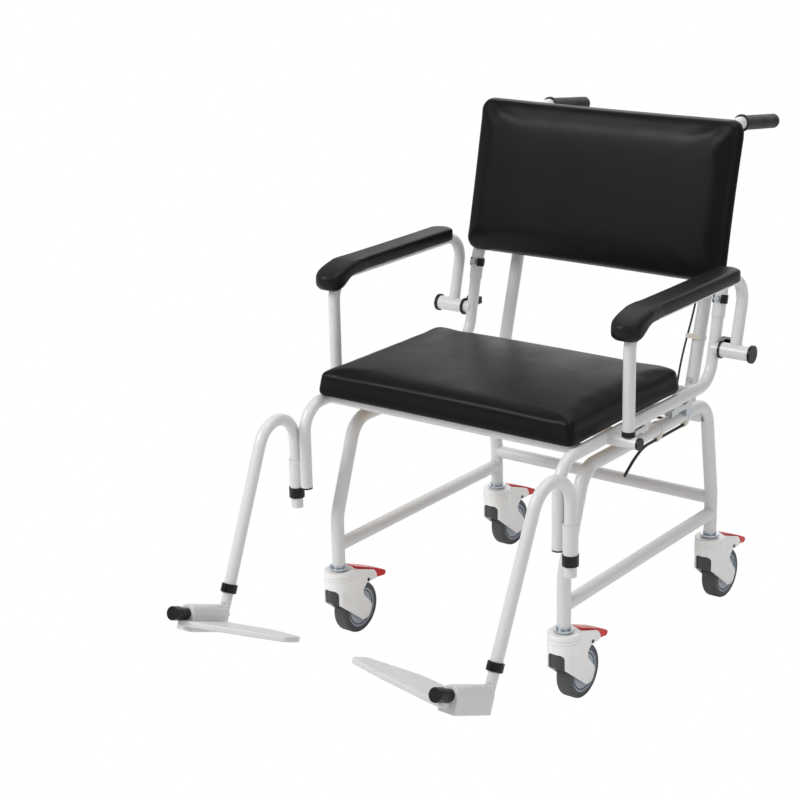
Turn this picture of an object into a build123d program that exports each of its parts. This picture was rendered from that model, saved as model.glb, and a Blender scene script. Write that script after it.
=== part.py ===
"""Chair scale on four braked casters, with lifting armrests and swing-away footrests.

Millimetres, +Z up. X runs across the chair, -Y is the way that the sitter faces, and the
origin is on the floor midway between the four caster stems.
"""
import os
from math import cos, hypot, radians, sin, sqrt, tan

from build123d import *

os.makedirs("parts", exist_ok=True)

# Fits shared by all pieces
gap = 0.3
running_fit = 0.05
overrun = 5.0

# Tube sizes
base_od = 25.0
frame_od = 22.0
tube_wall = 1.5
base_r = base_od / 2
frame_r = frame_od / 2

# Widths: the seat pad sets them, and the rest keep their distance from the pad's side
pad_width = 548.0
pad_side_x = pad_width / 2
leg_inset = 24.0
post_inset = 59.0
seat_tube_inset = 0.5
back_narrow_inset = 24.0
cell_inset = 12.0
arm_outset = 44.0
barrel_in_outset = 18.0
barrel_out_outset = 76.0
stub_outset = 63.0
receiver_outset = 24.0
stop_outset = 28.0
back_pad_extra = 28.0

# Base frame: two bent side tubes on the casters
leg_x = pad_side_x - leg_inset
leg_y = 268.0
leg_bottom_z = 153.5
front_kink_z = 250.0
rear_kink_z = 232.0
front_top_y = 205.0
rear_top_y = 238.0
base_rail_z = 425.0
kink_bend = 90.0
rail_bend = 50.0

# Cross members of the base frame
side_stretcher_z = 190.5
rear_stretcher_z = 221.5
rail_cross_y = -20.0
rear_cross_y = 230.0
rear_cross_z = 398.0

# Push posts and their grips
post_x = pad_side_x - post_inset
post_lean = 16.2
post_foot_y = 227.0
post_corner_z = 931.0
post_bend = 38.0
handle_cross_z = 790.0
grip_drop = 6.7
grip_length = 138.0
grip_od = 28.0
grip_wall = 2.5
grip_end_wall = 3.0
grip_flange_od = 33.0
grip_flange_width = 5.0
grip_ridge_count = 14
grip_ridge_depth = 0.9
grip_ridge_width = 3.2
grip_ridge_start = 10.0

# Seat frame: one bent tube each side, from footrest hanger to backrest post
seat_x = pad_side_x - seat_tube_inset
hanger_y = -325.0
hanger_bottom_z = 321.0
seat_rail_z = 475.5
back_corner_y = 202.0
back_lean = 12.7
back_joint_z = 598.0
spigot_length = 43.0
frame_bend = 50.0
seat_front_cross_y = -249.0
seat_rear_cross_y = 130.0

# Seat board and pad
pad_depth = 376.0
pad_front_y = -285.0
pad_corner = 12.0
pad_edge_height = 50.0
pad_crown = 8.0
pad_draw_in = 4.0
pad_top_round = 10.0
pad_bottom_round = 5.0
board_thickness = 12.0
board_inset = 14.0
board_corner = 4.0

# Backrest tube and pad
sleeve_od = 25.0
sleeve_r = sleeve_od / 2
back_rise = 318.0
back_narrow_x = pad_side_x - back_narrow_inset
back_jog_low_z = 656.0
back_jog_rise = 42.0
back_pad_width = pad_width + back_pad_extra
back_pad_height = 303.0
back_pad_rise = 58.5
back_pad_thickness = 36.0
back_pad_crown = 5.0
back_pad_corner = 30.0

# Armrests
arm_x = pad_side_x + arm_outset
arm_pivot_y = 215.0
arm_pivot_z = 540.5
arm_top_z = 682.0
arm_front_y = -172.0
arm_rear_corner_y = 251.0
arm_bend = 45.0
barrel_od = 28.0
barrel_in_x = pad_side_x + barrel_in_outset
barrel_out_x = pad_side_x + barrel_out_outset
boss_od = 24.0
pivot_bolt_d = 12.0
cap_od = 34.0
cap_thickness = 5.0
ring_thickness = 3.0
stub_end_x = pad_side_x + stub_outset
ferrule_length = 9.0
ferrule_wall = 1.0

# Arm pads
arm_pad_width = 52.0
arm_pad_front_width = 58.0
arm_pad_bottom_z = 684.0
arm_pad_height = 25.0
arm_pad_front_y = -207.0
arm_pad_rear_y = 193.0
arm_pad_droop_y = -122.0
arm_pad_step_y = -163.0
arm_pad_droop = 25.0
arm_pad_tip_fall = 20.0
arm_pad_round = 7.0

# Footrest hangers
receiver_od = 26.4
receiver_x = pad_side_x + receiver_outset
receiver_y = -325.0
receiver_top_z = 371.0
receiver_bottom_z = 317.0
weld_width = 3.0
weld_depth = 9.0
foot_tube_bottom_z = 277.0
foot_lean = 24.0
half_turn = 180.0
foot_top_z = 472.0
foot_bow = 55.0
foot_tube_length = 271.0
foot_toe_in = 3.0
collar_rise = 2.0
collar_height = 16.0
collar_od = 29.0
collar_chamfer = 0.9
thumb_boss_od = 9.0
thumb_boss_length = 4.0
slide_od = frame_od - 2 * tube_wall - 2 * running_fit
slide_inside = 110.0

# Footplates
pin_drop = 37.0
pin_clear = 21.0
pivot_pin_d = 12.0
tang_below = 25.0
tang_solid = 8.0
tang_front = 5.0
hub_pitch = 21.5
hub_width = 34.0
hub_length = 103.0
hub_below = 30.0
hub_round = 2.5
plate_top_drop = 11.0
plate_thickness = 10.0
plate_roll = 4.5
plate_reach = 213.0
plate_bend_in = 128.0
plate_outer = 6.0
plate_front = 130.0
plate_front_bend = 119.0
plate_tip_front = 102.0
plate_tip_back = 60.0
plate_back = 17.0
plate_corner = 12.0
plate_bend_round = 60.0
plate_edge_round = 2.5
knob_d = 25.0
knob_length = 20.0
knob_neck_d = 21.0
knob_neck_length = 20.0
knob_round = 1.5

# Casters
wheel_r = 50.0
wheel_width = 31.0
wheel_trail = 47.0
tread_round = 6.0
hub_r = 38.5
wheel_boss_r = 12.0
dish_depth = 2.0
hub_ring_r = 34.5
hub_groove = 2.2
axle_d = 8.0
axle_length = 41.0
stem_d = 12.0
stem_bottom_z = 108.0
stem_nut_od = 30.0
stem_washer_od = 37.0
stem_washer_z = 145.0
stem_washer_height = 3.0
stem_neck_od = 26.0
expander_length = 60.0
head_od = 58.0
head_top_z = 141.0
head_bottom_z = 118.0
head_groove = 0.8
head_groove_drops = [9.0, 16.0]
shell_half = 22.5
shell_edge_round = 2.0
shell_neck = 14.0
shell_front = 30.0
shell_front_low_z = 84.0
shell_tip_z = 27.0
shell_tip_lead = 4.0
shell_tip_trail = 14.0
shell_tip_rear = 26.0
shell_notch_y = 46.5
shell_notch_low_z = 79.0
shell_notch_high_z = 89.0
shell_arm_low_y = 57.0
shell_arm_low_z = 98.5
shell_arm_y = 86.0
shell_arm_end_y = 90.0
shell_arm_end_z = 105.0
shell_arm_knee_y = 82.0
shell_arm_knee_z = 117.0
shell_arm_top_y = 24.0
shell_arm_top_z = 138.0
pocket_clear = 1.8
shell_lobe_round = 12.0
shell_arm_round = 5.0
toe_window_half = 17.0
toe_window_top_z = 107.5
toe_window_height = 45.0
toe_window_round = 9.0
toe_guard_r = 25.5
toe_guard_wall = 2.5
toe_guard_top_z = 101.0
pedal_width = 26.0
pedal_pivot_y = 61.0
pedal_pivot_z = 104.5
pedal_pin_d = 5.0
pedal_front_y = 34.0
pedal_front_z = 139.0
pedal_knee_y = 92.0
pedal_knee_z = 116.0
pedal_tip_y = 124.0
pedal_tip_z = 101.0
pedal_tip_height = 11.0
pedal_heel_y = 92.0
pedal_heel_z = 95.0
pedal_lip = 5.0
pedal_foot = 4.5
pedal_round = 1.5

# Load cells between the two frames
cell_length = 76.0
cell_width = 15.0
cell_height = 13.0
cell_x = pad_side_x - cell_inset
cell_front_y = -92.0
cell_rear_y = 70.0
cell_bottom_z = 444.0
cell_neck_length = 30.0
cell_neck_depth = 2.0
mount_length = 22.0
mount_depth = 13.0
cell_bolt_d = 6.0
cell_bolt_grip = 6.0
bolt_head_d = 10.0
bolt_head_height = 3.5

# Junction box behind the seat
box_in_x = 40.0
box_out_x = 150.0
box_depth = 52.5
box_height = 30.0
box_corner = 4.0
box_lid_line = 1.0
box_lid_height = 8.0
gland_d = 12.0
gland_length = 9.0
gland_wall = 3.0

# Leads and their clips
indicator_lead_d = 4.0
rail_lead_d = 5.6
indicator_gland_y = 200.0
rail_gland_y = 178.0
post_lead_inset = 14.7
post_lead_x = post_x - post_lead_inset
post_lead_front = 11.0
rail_lead_z = 404.0
bend_share = 0.45
lead_first_run = 28.0
lead_bulge_y = 206.0
lead_bulge_z = 436.0
lead_settle_z = 640.0
lead_settle_front = 4.0
lead_turn_z = 735.0
lead_turn_in = 26.0
lead_corner_x = 18.0
lead_corner_y = 12.0
tail_bow_y = -18.0
rail_clip_ys = [152.0, 50.0]
tail_start_y = 17.0
tail_end_y = -66.0
tail_end_z = 367.0
post_clip_zs = [540.0, 690.0]
lead_bulge_front = 30.0
lead_bulge_top_z = 498.0
lead_clip_rise = 40.0
bar_clip_x = 110.0
clip_wall = 1.6
clip_length = 9.0

# Weighing display on the push posts
case_width = 232.0
case_height = 121.0
case_front_depth = 20.0
case_rear_depth = 24.0
case_wall = 2.5
case_corner = 14.0
case_edge_round = 4.0
case_lip = 3.0
case_lip_height = 9.0
case_y = 402.0
case_z = 822.0
case_tilt = 24.0
overlay_width = 222.0
overlay_height = 98.0
overlay_rise = 3.8
overlay_depth = 0.6
overlay_corner = 5.0
weight_window = [84.0, 30.4, -54.6, 22.8]
total_window = [57.3, 41.1, -41.2, -18.2]
window_corner = 1.5
key_columns = 4
key_rows = 5
key_pitch_x = 19.5
key_pitch_y = 15.2
key_width = 17.6
key_height = 13.6
key_corner = 2.0
key_rise = 0.4
keypad_x = 52.5
keypad_y = 1.4
lcd_frame = 3.0
lcd_sink = 0.5
board_sheet = 1.6
board_depth_in_case = 4.0
board_side = 14.0
board_end = 7.5
boss_x = 96.0
boss_y = 48.0
boss_d = 7.0
battery_width = 62.0
battery_height = 58.0
battery_depth = 15.0
battery_cell_d = 14.5
battery_offset = 48.0
battery_count = 4
tilt_axis_y = 368.0
tilt_axis_z = 806.0
tilt_pin_d = 6.0
tilt_knob_d = 18.0
tilt_knob_length = 8.0
tilt_ear_r = 9.0
tilt_ear_width = 6.0
tilt_ear_x = 24.0
tilt_lug_x = 16.5
tilt_lug_width = 13.0
clamp_wall = 5.0

# Bolts, clips and plastic ends
sleeve_bolt_z = 631.0
sleeve_bolt_d = 6.0
bolt_nut_d = 13.0
bolt_nut_height = 5.0
post_bolt_z = 460.0
post_bolt_shank = 8.0
saddle_height = 16.0
saddle_wall = 2.0
pad_clip_zs = [715.0, 840.0]
pad_clip_height = 16.0
pad_clip_foot = 13.0
pad_clip_wall = 2.0
cap_skirt = 8.0
bush_height = 20.0
bush_od = 29.0
stop_size = 14.0
stop_y = 245.0
stop_z = 548.0
stop_out_x = pad_side_x + stop_outset


def save(part, name):
    part.label = name
    export_step(part, f"parts/{name}.step")


def save_pair(part, name):
    """The right-hand piece and its mirror image."""
    save(mirror(part, about=Plane.YZ), f"{name}_left")
    save(part, f"{name}_right")


def route(points, bend):
    with BuildLine() as line:
        FilletPolyline(*points, radius=bend)
    return line.line


def rod(points, bend, diameter):
    """A solid round bar along straight runs joined by bends."""
    path = route(points, bend) if len(points) > 2 else Line(*points)
    with BuildPart() as bar:
        with BuildSketch(Plane(origin=path @ 0, z_dir=path % 0)):
            Circle(diameter / 2)
        sweep(path=path)
    return bar.part


def tube(points, bend, diameter, wall=tube_wall):
    """The same bar, hollow and open at both ends."""
    path = route(points, bend) if len(points) > 2 else Line(*points)
    with BuildPart() as pipe:
        with BuildSketch(Plane(origin=path @ 0, z_dir=path % 0)):
            Circle(diameter / 2)
            Circle(diameter / 2 - wall, mode=Mode.SUBTRACT)
        sweep(path=path)
    return pipe.part


def cross_bar(half_span, y, z, diameter, wall=tube_wall):
    return tube([(-half_span, y, z), (half_span, y, z)], 0, diameter, wall)


# Base side tubes
side_points = [
    (leg_x, -leg_y, leg_bottom_z),
    (leg_x, -leg_y, front_kink_z),
    (leg_x, -front_top_y, base_rail_z),
    (leg_x, rear_top_y, base_rail_z),
    (leg_x, leg_y, rear_kink_z),
    (leg_x, leg_y, leg_bottom_z),
]
side_bends = [kink_bend, rail_bend, rail_bend, kink_bend]

with BuildPart() as base_side_tube:
    add(tube(side_points, side_bends, base_od))
save_pair(base_side_tube.part, "base_side_tube")

with BuildPart() as base_side_bars:
    add(rod(side_points, side_bends, base_od))
    mirror(about=Plane.YZ)

# Base cross members, saddle-cut to the side tubes
with BuildPart() as base_cross_members:
    add(tube([(leg_x, -leg_y, side_stretcher_z), (leg_x, leg_y, side_stretcher_z)], 0, base_od))
    mirror(about=Plane.YZ)
    add(cross_bar(leg_x, leg_y, rear_stretcher_z, base_od))
    add(cross_bar(leg_x, rail_cross_y, base_rail_z, base_od))
    add(cross_bar(leg_x, rear_cross_y, rear_cross_z, base_od))
    add(base_side_bars.part, mode=Mode.SUBTRACT)
save(base_cross_members.part, "base_cross_members")

# Push posts, joined by a cross bar that carries the display
post_slope = tan(radians(post_lean))


def post_y(z):
    """Where a push post's axis lies at height z."""
    return post_foot_y + (z - rear_cross_z) * post_slope


post_corner_y = post_y(post_corner_z)
grip_way = (0, cos(radians(grip_drop)), -sin(radians(grip_drop)))
post_turn = radians(90 - post_lean + grip_drop)
grip_start = post_bend * tan(post_turn / 2)
grip_end = grip_start + grip_length - grip_end_wall
post_points = [
    (post_x, post_foot_y, rear_cross_z),
    (post_x, post_corner_y, post_corner_z),
    (post_x, post_corner_y + grip_end * grip_way[1], post_corner_z + grip_end * grip_way[2]),
]

with BuildPart() as rear_cross_cut:
    add(rod([(-leg_x, rear_cross_y, rear_cross_z), (leg_x, rear_cross_y, rear_cross_z)], 0, base_od))

with BuildPart() as post_bores:
    add(rod(post_points, post_bend, base_od - 2 * tube_wall))
    mirror(about=Plane.YZ)

handle_cross_y = post_y(handle_cross_z)
post_up = Vector(0, sin(radians(post_lean)), cos(radians(post_lean)))
post_front = Vector(0, -cos(radians(post_lean)), sin(radians(post_lean)))
post_bolt_plane = Plane(
    origin=Vector(post_x, post_y(post_bolt_z), post_bolt_z) + post_front * base_r,
    x_dir=(1, 0, 0),
    z_dir=post_front,
)

with BuildPart() as push_posts:
    add(tube(post_points, post_bend, base_od))
    with BuildSketch(post_bolt_plane):
        Circle(cell_bolt_d / 2 + running_fit)
    extrude(amount=-post_bolt_shank - running_fit, mode=Mode.SUBTRACT)
    mirror(about=Plane.YZ)
    add(cross_bar(post_x, handle_cross_y, handle_cross_z, frame_od))
    add(post_bores.part, mode=Mode.SUBTRACT)
    add(rear_cross_cut.part, mode=Mode.SUBTRACT)
save(push_posts.part, "push_posts")

# Ribbed grips with a flange at the front and a closed rear end
grip_plane = Plane(
    origin=(
        post_x,
        post_corner_y + grip_start * grip_way[1],
        post_corner_z + grip_start * grip_way[2],
    ),
    x_dir=(1, 0, 0),
    z_dir=grip_way,
)
ridge_pitch = (grip_length - 2 * grip_ridge_start) / grip_ridge_count

with BuildPart() as handle_grips:
    with BuildSketch(grip_plane):
        Circle(grip_od / 2)
    extrude(amount=grip_length)
    rear_rim = handle_grips.edges().filter_by(GeomType.CIRCLE).sort_by(Axis.Y)[-1]
    fillet(rear_rim, radius=grip_wall)
    with BuildSketch(grip_plane):
        Circle(grip_flange_od / 2)
    extrude(amount=grip_flange_width)
    with Locations(*[
        Location(grip_plane.offset(grip_ridge_start + ridge_pitch * step))
        for step in range(grip_ridge_count)
    ]):
        with BuildSketch():
            Circle(grip_od / 2 + overrun)
            Circle(grip_od / 2 - grip_ridge_depth, mode=Mode.SUBTRACT)
        extrude(amount=ridge_pitch - grip_ridge_width, mode=Mode.SUBTRACT)
    with BuildSketch(grip_plane):
        Circle(base_r + running_fit)
    extrude(amount=grip_length - grip_end_wall, mode=Mode.SUBTRACT)
    mirror(about=Plane.YZ)
save(handle_grips.part, "handle_grips")

# Seat side tubes: hanger, rail and backrest spigot in one bend, with the welded receiver
back_slope = tan(radians(back_lean))


def back_y(z):
    """Where the backrest's tube axis lies at height z."""
    return back_corner_y + (z - seat_rail_z) * back_slope


def back_plane(z, forward=0.0, x=0.0):
    """A plane on the backrest's own lean, facing the sitter, at height z on the tube's axis."""
    face = Vector(0, -cos(radians(back_lean)), sin(radians(back_lean)))
    return Plane(origin=Vector(x, back_y(z), z) + face * forward, x_dir=(1, 0, 0), z_dir=face)


sleeve_bolt_plane = back_plane(sleeve_bolt_z, x=seat_x)
spigot_top_z = back_joint_z + spigot_length
seat_points = [
    (seat_x, hanger_y, hanger_bottom_z),
    (seat_x, hanger_y, seat_rail_z),
    (seat_x, back_corner_y, seat_rail_z),
    (seat_x, back_y(spigot_top_z), spigot_top_z),
]
receiver_bore = frame_od + 2 * gap
boss_points = [(seat_x, arm_pivot_y, arm_pivot_z), (barrel_in_x - ring_thickness, arm_pivot_y, arm_pivot_z)]
stub_points = [(seat_x, arm_front_y, seat_rail_z), (stub_end_x, arm_front_y, seat_rail_z)]
seat_rod = rod(seat_points, frame_bend, frame_od)
seat_bore = rod(seat_points, frame_bend, frame_od - 2 * tube_wall)

with BuildPart() as seat_side_tube:
    add(seat_rod)
    add(rod(boss_points, 0, boss_od))
    add(rod(stub_points, 0, frame_od))
    with BuildSketch(Plane(origin=(receiver_x, receiver_y, receiver_bottom_z))):
        Circle(receiver_od / 2)
    extrude(amount=receiver_top_z - receiver_bottom_z)
    with Locations((seat_x + frame_r, hanger_y, (receiver_top_z + hanger_bottom_z) / 2)):
        Box(weld_width, weld_depth, receiver_top_z - hanger_bottom_z)
    add(seat_bore, mode=Mode.SUBTRACT)
    add(rod(stub_points, 0, frame_od - 2 * tube_wall), mode=Mode.SUBTRACT)
    with BuildSketch(Plane(origin=(receiver_x, receiver_y, receiver_bottom_z))):
        Circle(receiver_bore / 2)
    extrude(amount=receiver_top_z - receiver_bottom_z, mode=Mode.SUBTRACT)
    with BuildSketch(Plane(origin=(seat_x, arm_pivot_y, arm_pivot_z), z_dir=(1, 0, 0))):
        Circle(pivot_bolt_d / 2 + running_fit)
    extrude(amount=barrel_in_x - seat_x, mode=Mode.SUBTRACT)
    with BuildSketch(sleeve_bolt_plane):
        Circle(sleeve_bolt_d / 2 + running_fit)
    extrude(amount=sleeve_r + overrun, both=True, mode=Mode.SUBTRACT)
save_pair(seat_side_tube.part, "seat_side_tube")

with BuildPart() as seat_side_bars:
    add(seat_rod)
    mirror(about=Plane.YZ)

with BuildPart() as seat_cross_tubes:
    add(cross_bar(seat_x, seat_front_cross_y, seat_rail_z, frame_od))
    add(cross_bar(seat_x, seat_rear_cross_y, seat_rail_z, frame_od))
    add(seat_side_bars.part, mode=Mode.SUBTRACT)
save(seat_cross_tubes.part, "seat_cross_tubes")

# Seat board, let into the underside of the seat pad
seat_top_z = seat_rail_z + frame_r
pad_mid_y = pad_front_y + pad_depth / 2
board_width = pad_width - 2 * board_inset
board_depth = pad_depth - 2 * board_inset

with BuildPart() as seat_board:
    with BuildSketch(Plane(origin=(0, pad_mid_y, seat_top_z))):
        RectangleRounded(board_width, board_depth, board_corner)
    extrude(amount=board_thickness)
save(seat_board.part, "seat_board")


def cushion(plane, width, depth, edge_height, crown, draw_in, corner):
    """A padded block with a top crowned from side to side and sides drawn in at mid length."""
    half_w, half_d = width / 2, depth / 2
    section = Plane(origin=plane.origin - plane.y_dir * depth, x_dir=plane.x_dir, z_dir=plane.y_dir)
    with BuildPart() as block:
        with BuildSketch(plane):
            with BuildLine():
                ThreePointArc((-half_w, -half_d), (0, draw_in - half_d), (half_w, -half_d))
                ThreePointArc((half_w, -half_d), (half_w - draw_in, 0), (half_w, half_d))
                ThreePointArc((half_w, half_d), (0, half_d - draw_in), (-half_w, half_d))
                ThreePointArc((-half_w, half_d), (draw_in - half_w, 0), (-half_w, -half_d))
            make_face()
        extrude(amount=edge_height + crown)
        upright = block.edges().filter_by(GeomType.LINE).filter_by(
            lambda edge: (edge @ 1 - edge @ 0).cross(plane.z_dir).length < gap
        )
        fillet(upright, radius=corner)
        with BuildSketch(section):
            with BuildLine():
                Polyline(
                    (half_w, -edge_height), (half_w, overrun), (-half_w, overrun), (-half_w, -edge_height),
                )
                ThreePointArc((-half_w, -edge_height), (0, -edge_height - crown), (half_w, -edge_height))
            make_face()
        extrude(amount=2 * depth, mode=Mode.INTERSECT)
    return block.part


pad_base_z = seat_top_z + gap
pad_plane = Plane(origin=(0, pad_mid_y, pad_base_z))
seat_block = cushion(pad_plane, pad_width, pad_depth, pad_edge_height, pad_crown, pad_draw_in, pad_corner)

with BuildPart() as seat_pad:
    add(seat_block)
    with BuildSketch(Plane(origin=(0, pad_mid_y, seat_top_z - overrun))):
        RectangleRounded(board_width + 2 * gap, board_depth + 2 * gap, board_corner + gap)
    extrude(amount=board_thickness + gap + overrun, mode=Mode.SUBTRACT)
    top_rim = seat_pad.edges().filter_by(lambda e: e.center().Z > pad_base_z + pad_edge_height / 2)
    fillet(top_rim, radius=pad_top_round)
save(seat_pad.part, "seat_pad")

# Backrest: an inverted U of tube, narrower behind the pad, that slips over the two spigots
back_jog_high_z = back_jog_low_z + back_jog_rise
back_top_z = back_joint_z + back_rise
back_points = [
    (-seat_x, back_y(back_joint_z), back_joint_z),
    (-seat_x, back_y(back_jog_low_z), back_jog_low_z),
    (-back_narrow_x, back_y(back_jog_high_z), back_jog_high_z),
    (-back_narrow_x, back_y(back_top_z), back_top_z),
    (back_narrow_x, back_y(back_top_z), back_top_z),
    (back_narrow_x, back_y(back_jog_high_z), back_jog_high_z),
    (seat_x, back_y(back_jog_low_z), back_jog_low_z),
    (seat_x, back_y(back_joint_z), back_joint_z),
]
sleeve_bore = frame_od + 2 * running_fit

with BuildPart() as back_tube:
    add(tube(back_points, frame_bend, sleeve_od, (sleeve_od - sleeve_bore) / 2))
    for plane in (sleeve_bolt_plane, back_plane(sleeve_bolt_z, x=-seat_x)):
        with BuildSketch(plane):
            Circle(sleeve_bolt_d / 2 + running_fit)
        extrude(amount=sleeve_r + overrun, both=True, mode=Mode.SUBTRACT)
save(back_tube.part, "back_tube")

# Backrest pad, in front of the tube
back_pad_mid_z = back_joint_z + back_pad_rise + back_pad_height / 2 * cos(radians(back_lean))
back_pad_plane = back_plane(back_pad_mid_z, sleeve_r + gap)
back_edge_height = back_pad_thickness - back_pad_crown
back_block = cushion(back_pad_plane, back_pad_width, back_pad_height, back_edge_height, back_pad_crown,
                     pad_draw_in, back_pad_corner)

with BuildPart() as back_pad:
    add(back_block)
    front_rim = back_pad.edges().filter_by(
        lambda e: back_pad_plane.to_local_coords(e.center()).Z > back_edge_height / 2)
    fillet(front_rim, radius=pad_top_round)
    rear_rim = back_pad.faces().sort_by(Axis(back_pad_plane.origin, back_pad_plane.z_dir))[0].edges()
    fillet(rear_rim, radius=pad_bottom_round)
save(back_pad.part, "back_pad")

# Armrest tubes: a bow from the rubber-tipped front leg back to the pivot barrel
arm_points = [
    (arm_x, arm_front_y, seat_top_z + ferrule_wall),
    (arm_x, arm_front_y, arm_top_z),
    (arm_x, arm_rear_corner_y, arm_top_z),
    (arm_x, arm_pivot_y, arm_pivot_z),
]
arm_rod = rod(arm_points, arm_bend, frame_od)
barrel_plane = Plane(origin=(barrel_in_x, arm_pivot_y, arm_pivot_z), z_dir=(1, 0, 0))
barrel_length = barrel_out_x - barrel_in_x

with BuildPart() as armrest_tube:
    add(arm_rod)
    with BuildSketch(barrel_plane):
        Circle(barrel_od / 2)
    extrude(amount=barrel_length)
    add(rod(arm_points, arm_bend, frame_od - 2 * tube_wall), mode=Mode.SUBTRACT)
    with BuildSketch(barrel_plane):
        Circle(barrel_od / 2)
        Circle(pivot_bolt_d / 2 + gap, mode=Mode.SUBTRACT)
    extrude(amount=barrel_length)
    with BuildSketch(barrel_plane):
        Circle(pivot_bolt_d / 2 + running_fit)
    extrude(amount=barrel_length, mode=Mode.SUBTRACT)
    with BuildSketch(Plane(origin=(arm_x, arm_front_y, seat_top_z + gap))):
        Circle(frame_r + ferrule_wall)
    extrude(amount=ferrule_length)
save_pair(armrest_tube.part, "armrest_tube")

# Arm pads: a long pad with a wider front end that droops over the tube's bend
arm_pad_top_z = arm_pad_bottom_z + arm_pad_height
arm_pad_tip_top_z = arm_pad_top_z - arm_pad_tip_fall
arm_pad_droop_z = arm_pad_bottom_z - arm_pad_droop

with BuildPart() as arm_pad:
    pad_reach = arm_pad_front_width
    half_wide, half_front = arm_pad_width / 2, arm_pad_front_width / 2
    with BuildSketch(Plane(origin=(arm_x - pad_reach, 0, 0), x_dir=(0, 1, 0), z_dir=(1, 0, 0))):
        with BuildLine():
            Line((arm_pad_rear_y, arm_pad_bottom_z), (arm_pad_rear_y, arm_pad_top_z))
            Line((arm_pad_rear_y, arm_pad_top_z), (arm_pad_droop_y, arm_pad_top_z))
            nose = TangentArc(
                (arm_pad_droop_y, arm_pad_top_z),
                (arm_pad_front_y, arm_pad_tip_top_z),
                tangent=(-1, 0),
            )
            chin_y = arm_pad_front_y + arm_pad_front_width / 3
            lip_y = arm_pad_front_y + arm_pad_round / 2
            lip_z = (arm_pad_tip_top_z + arm_pad_droop_z) / 2 - arm_pad_round / 2
            ThreePointArc(nose @ 1, (lip_y, lip_z), (chin_y, arm_pad_droop_z))
            Line((chin_y, arm_pad_droop_z), (arm_pad_step_y - arm_pad_round, arm_pad_droop_z + arm_pad_round))
            Line(
                (arm_pad_step_y - arm_pad_round, arm_pad_droop_z + arm_pad_round),
                (arm_pad_step_y + 2 * arm_pad_round, arm_pad_bottom_z),
            )
            Line((arm_pad_step_y + 2 * arm_pad_round, arm_pad_bottom_z), (arm_pad_rear_y, arm_pad_bottom_z))
        make_face()
    extrude(amount=2 * pad_reach)
    with BuildSketch(Plane(origin=(arm_x, 0, arm_pad_droop_z - overrun))):
        with BuildLine():
            nose_y = arm_pad_front_y + half_front
            tail_y = arm_pad_rear_y - half_wide / 2
            ThreePointArc((-half_front, nose_y), (0, arm_pad_front_y), (half_front, nose_y))
            Line((half_front, nose_y), (half_front, arm_pad_step_y))
            Line((half_front, arm_pad_step_y), (half_wide, arm_pad_droop_y + half_wide))
            Line((half_wide, arm_pad_droop_y + half_wide), (half_wide, tail_y))
            ThreePointArc((half_wide, tail_y), (0, arm_pad_rear_y), (-half_wide, tail_y))
            Line((-half_wide, tail_y), (-half_wide, arm_pad_droop_y + half_wide))
            Line((-half_wide, arm_pad_droop_y + half_wide), (-half_front, arm_pad_step_y))
            Line((-half_front, arm_pad_step_y), (-half_front, nose_y))
        make_face()
    extrude(amount=arm_pad_top_z - arm_pad_droop_z + 2 * overrun, mode=Mode.INTERSECT)
    top_rim = arm_pad.edges().filter_by(lambda e: e.center().Z > arm_pad_tip_top_z + gap)
    fillet(top_rim, radius=arm_pad_round)
    add(rod(arm_points, arm_bend, frame_od + 2 * gap), mode=Mode.SUBTRACT)
save_pair(arm_pad.part, "arm_pad")

# Footrest hangers: a crook that drops into the receiver and leads forward and down
bow_mid_z = foot_top_z - foot_bow - frame_r
foot_side = Plane(origin=(receiver_x, 0, 0), x_dir=(0, 1, 0), z_dir=(1, 0, 0))
foot_way = Vector(0, -sin(radians(foot_lean)), -cos(radians(foot_lean)))
foot_front = Vector(0, -cos(radians(foot_lean)), sin(radians(foot_lean)))
foot_axis = Axis((receiver_x, receiver_y, 0), (0, 0, 1))


def toed(piece):
    """A piece of the right footrest turned in its receiver, so that both plates point a little inwards."""
    return piece.rotate(foot_axis, -foot_toe_in)


with BuildPart() as footrest_tube:
    with BuildLine(foot_side) as crook:
        Line((receiver_y, foot_tube_bottom_z), (receiver_y, bow_mid_z))
        JernArc(start=(receiver_y, bow_mid_z), tangent=(0, 1), radius=foot_bow, arc_size=half_turn - foot_lean)
        bow_end = Vector(receiver_x, receiver_y - foot_bow, bow_mid_z) + foot_front * foot_bow
        foot_end = bow_end + foot_way * foot_tube_length
        Line((bow_end.Y, bow_end.Z), (foot_end.Y, foot_end.Z))
    with BuildSketch(Plane(origin=crook.line @ 0, z_dir=crook.line % 0)):
        Circle(frame_r)
        Circle(frame_r - tube_wall, mode=Mode.SUBTRACT)
    sweep(path=crook.line)
save_pair(toed(footrest_tube.part), "footrest_tube")

# Clamp collar at the foot of the hanger, with its thumb boss in front
foot_plane = Plane(origin=foot_end, x_dir=(1, 0, 0), z_dir=-foot_way)

with BuildPart() as footrest_collar:
    with BuildSketch(foot_plane.offset(collar_rise)):
        Circle(collar_od / 2)
    extrude(amount=collar_height)
    chamfer(footrest_collar.edges().filter_by(GeomType.CIRCLE), length=collar_chamfer)
    boss_origin = foot_end - foot_way * (collar_rise + collar_height / 2)
    with BuildSketch(Plane(origin=boss_origin, x_dir=(1, 0, 0), z_dir=foot_front)):
        Circle(thumb_boss_od / 2)
    extrude(amount=collar_od / 2 + thumb_boss_length)
    with BuildSketch(foot_plane.offset(-overrun)):
        Circle(frame_r + running_fit)
    extrude(amount=collar_height + collar_rise + 2 * overrun, mode=Mode.SUBTRACT)
save_pair(toed(footrest_collar.part), "footrest_collar")

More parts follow.
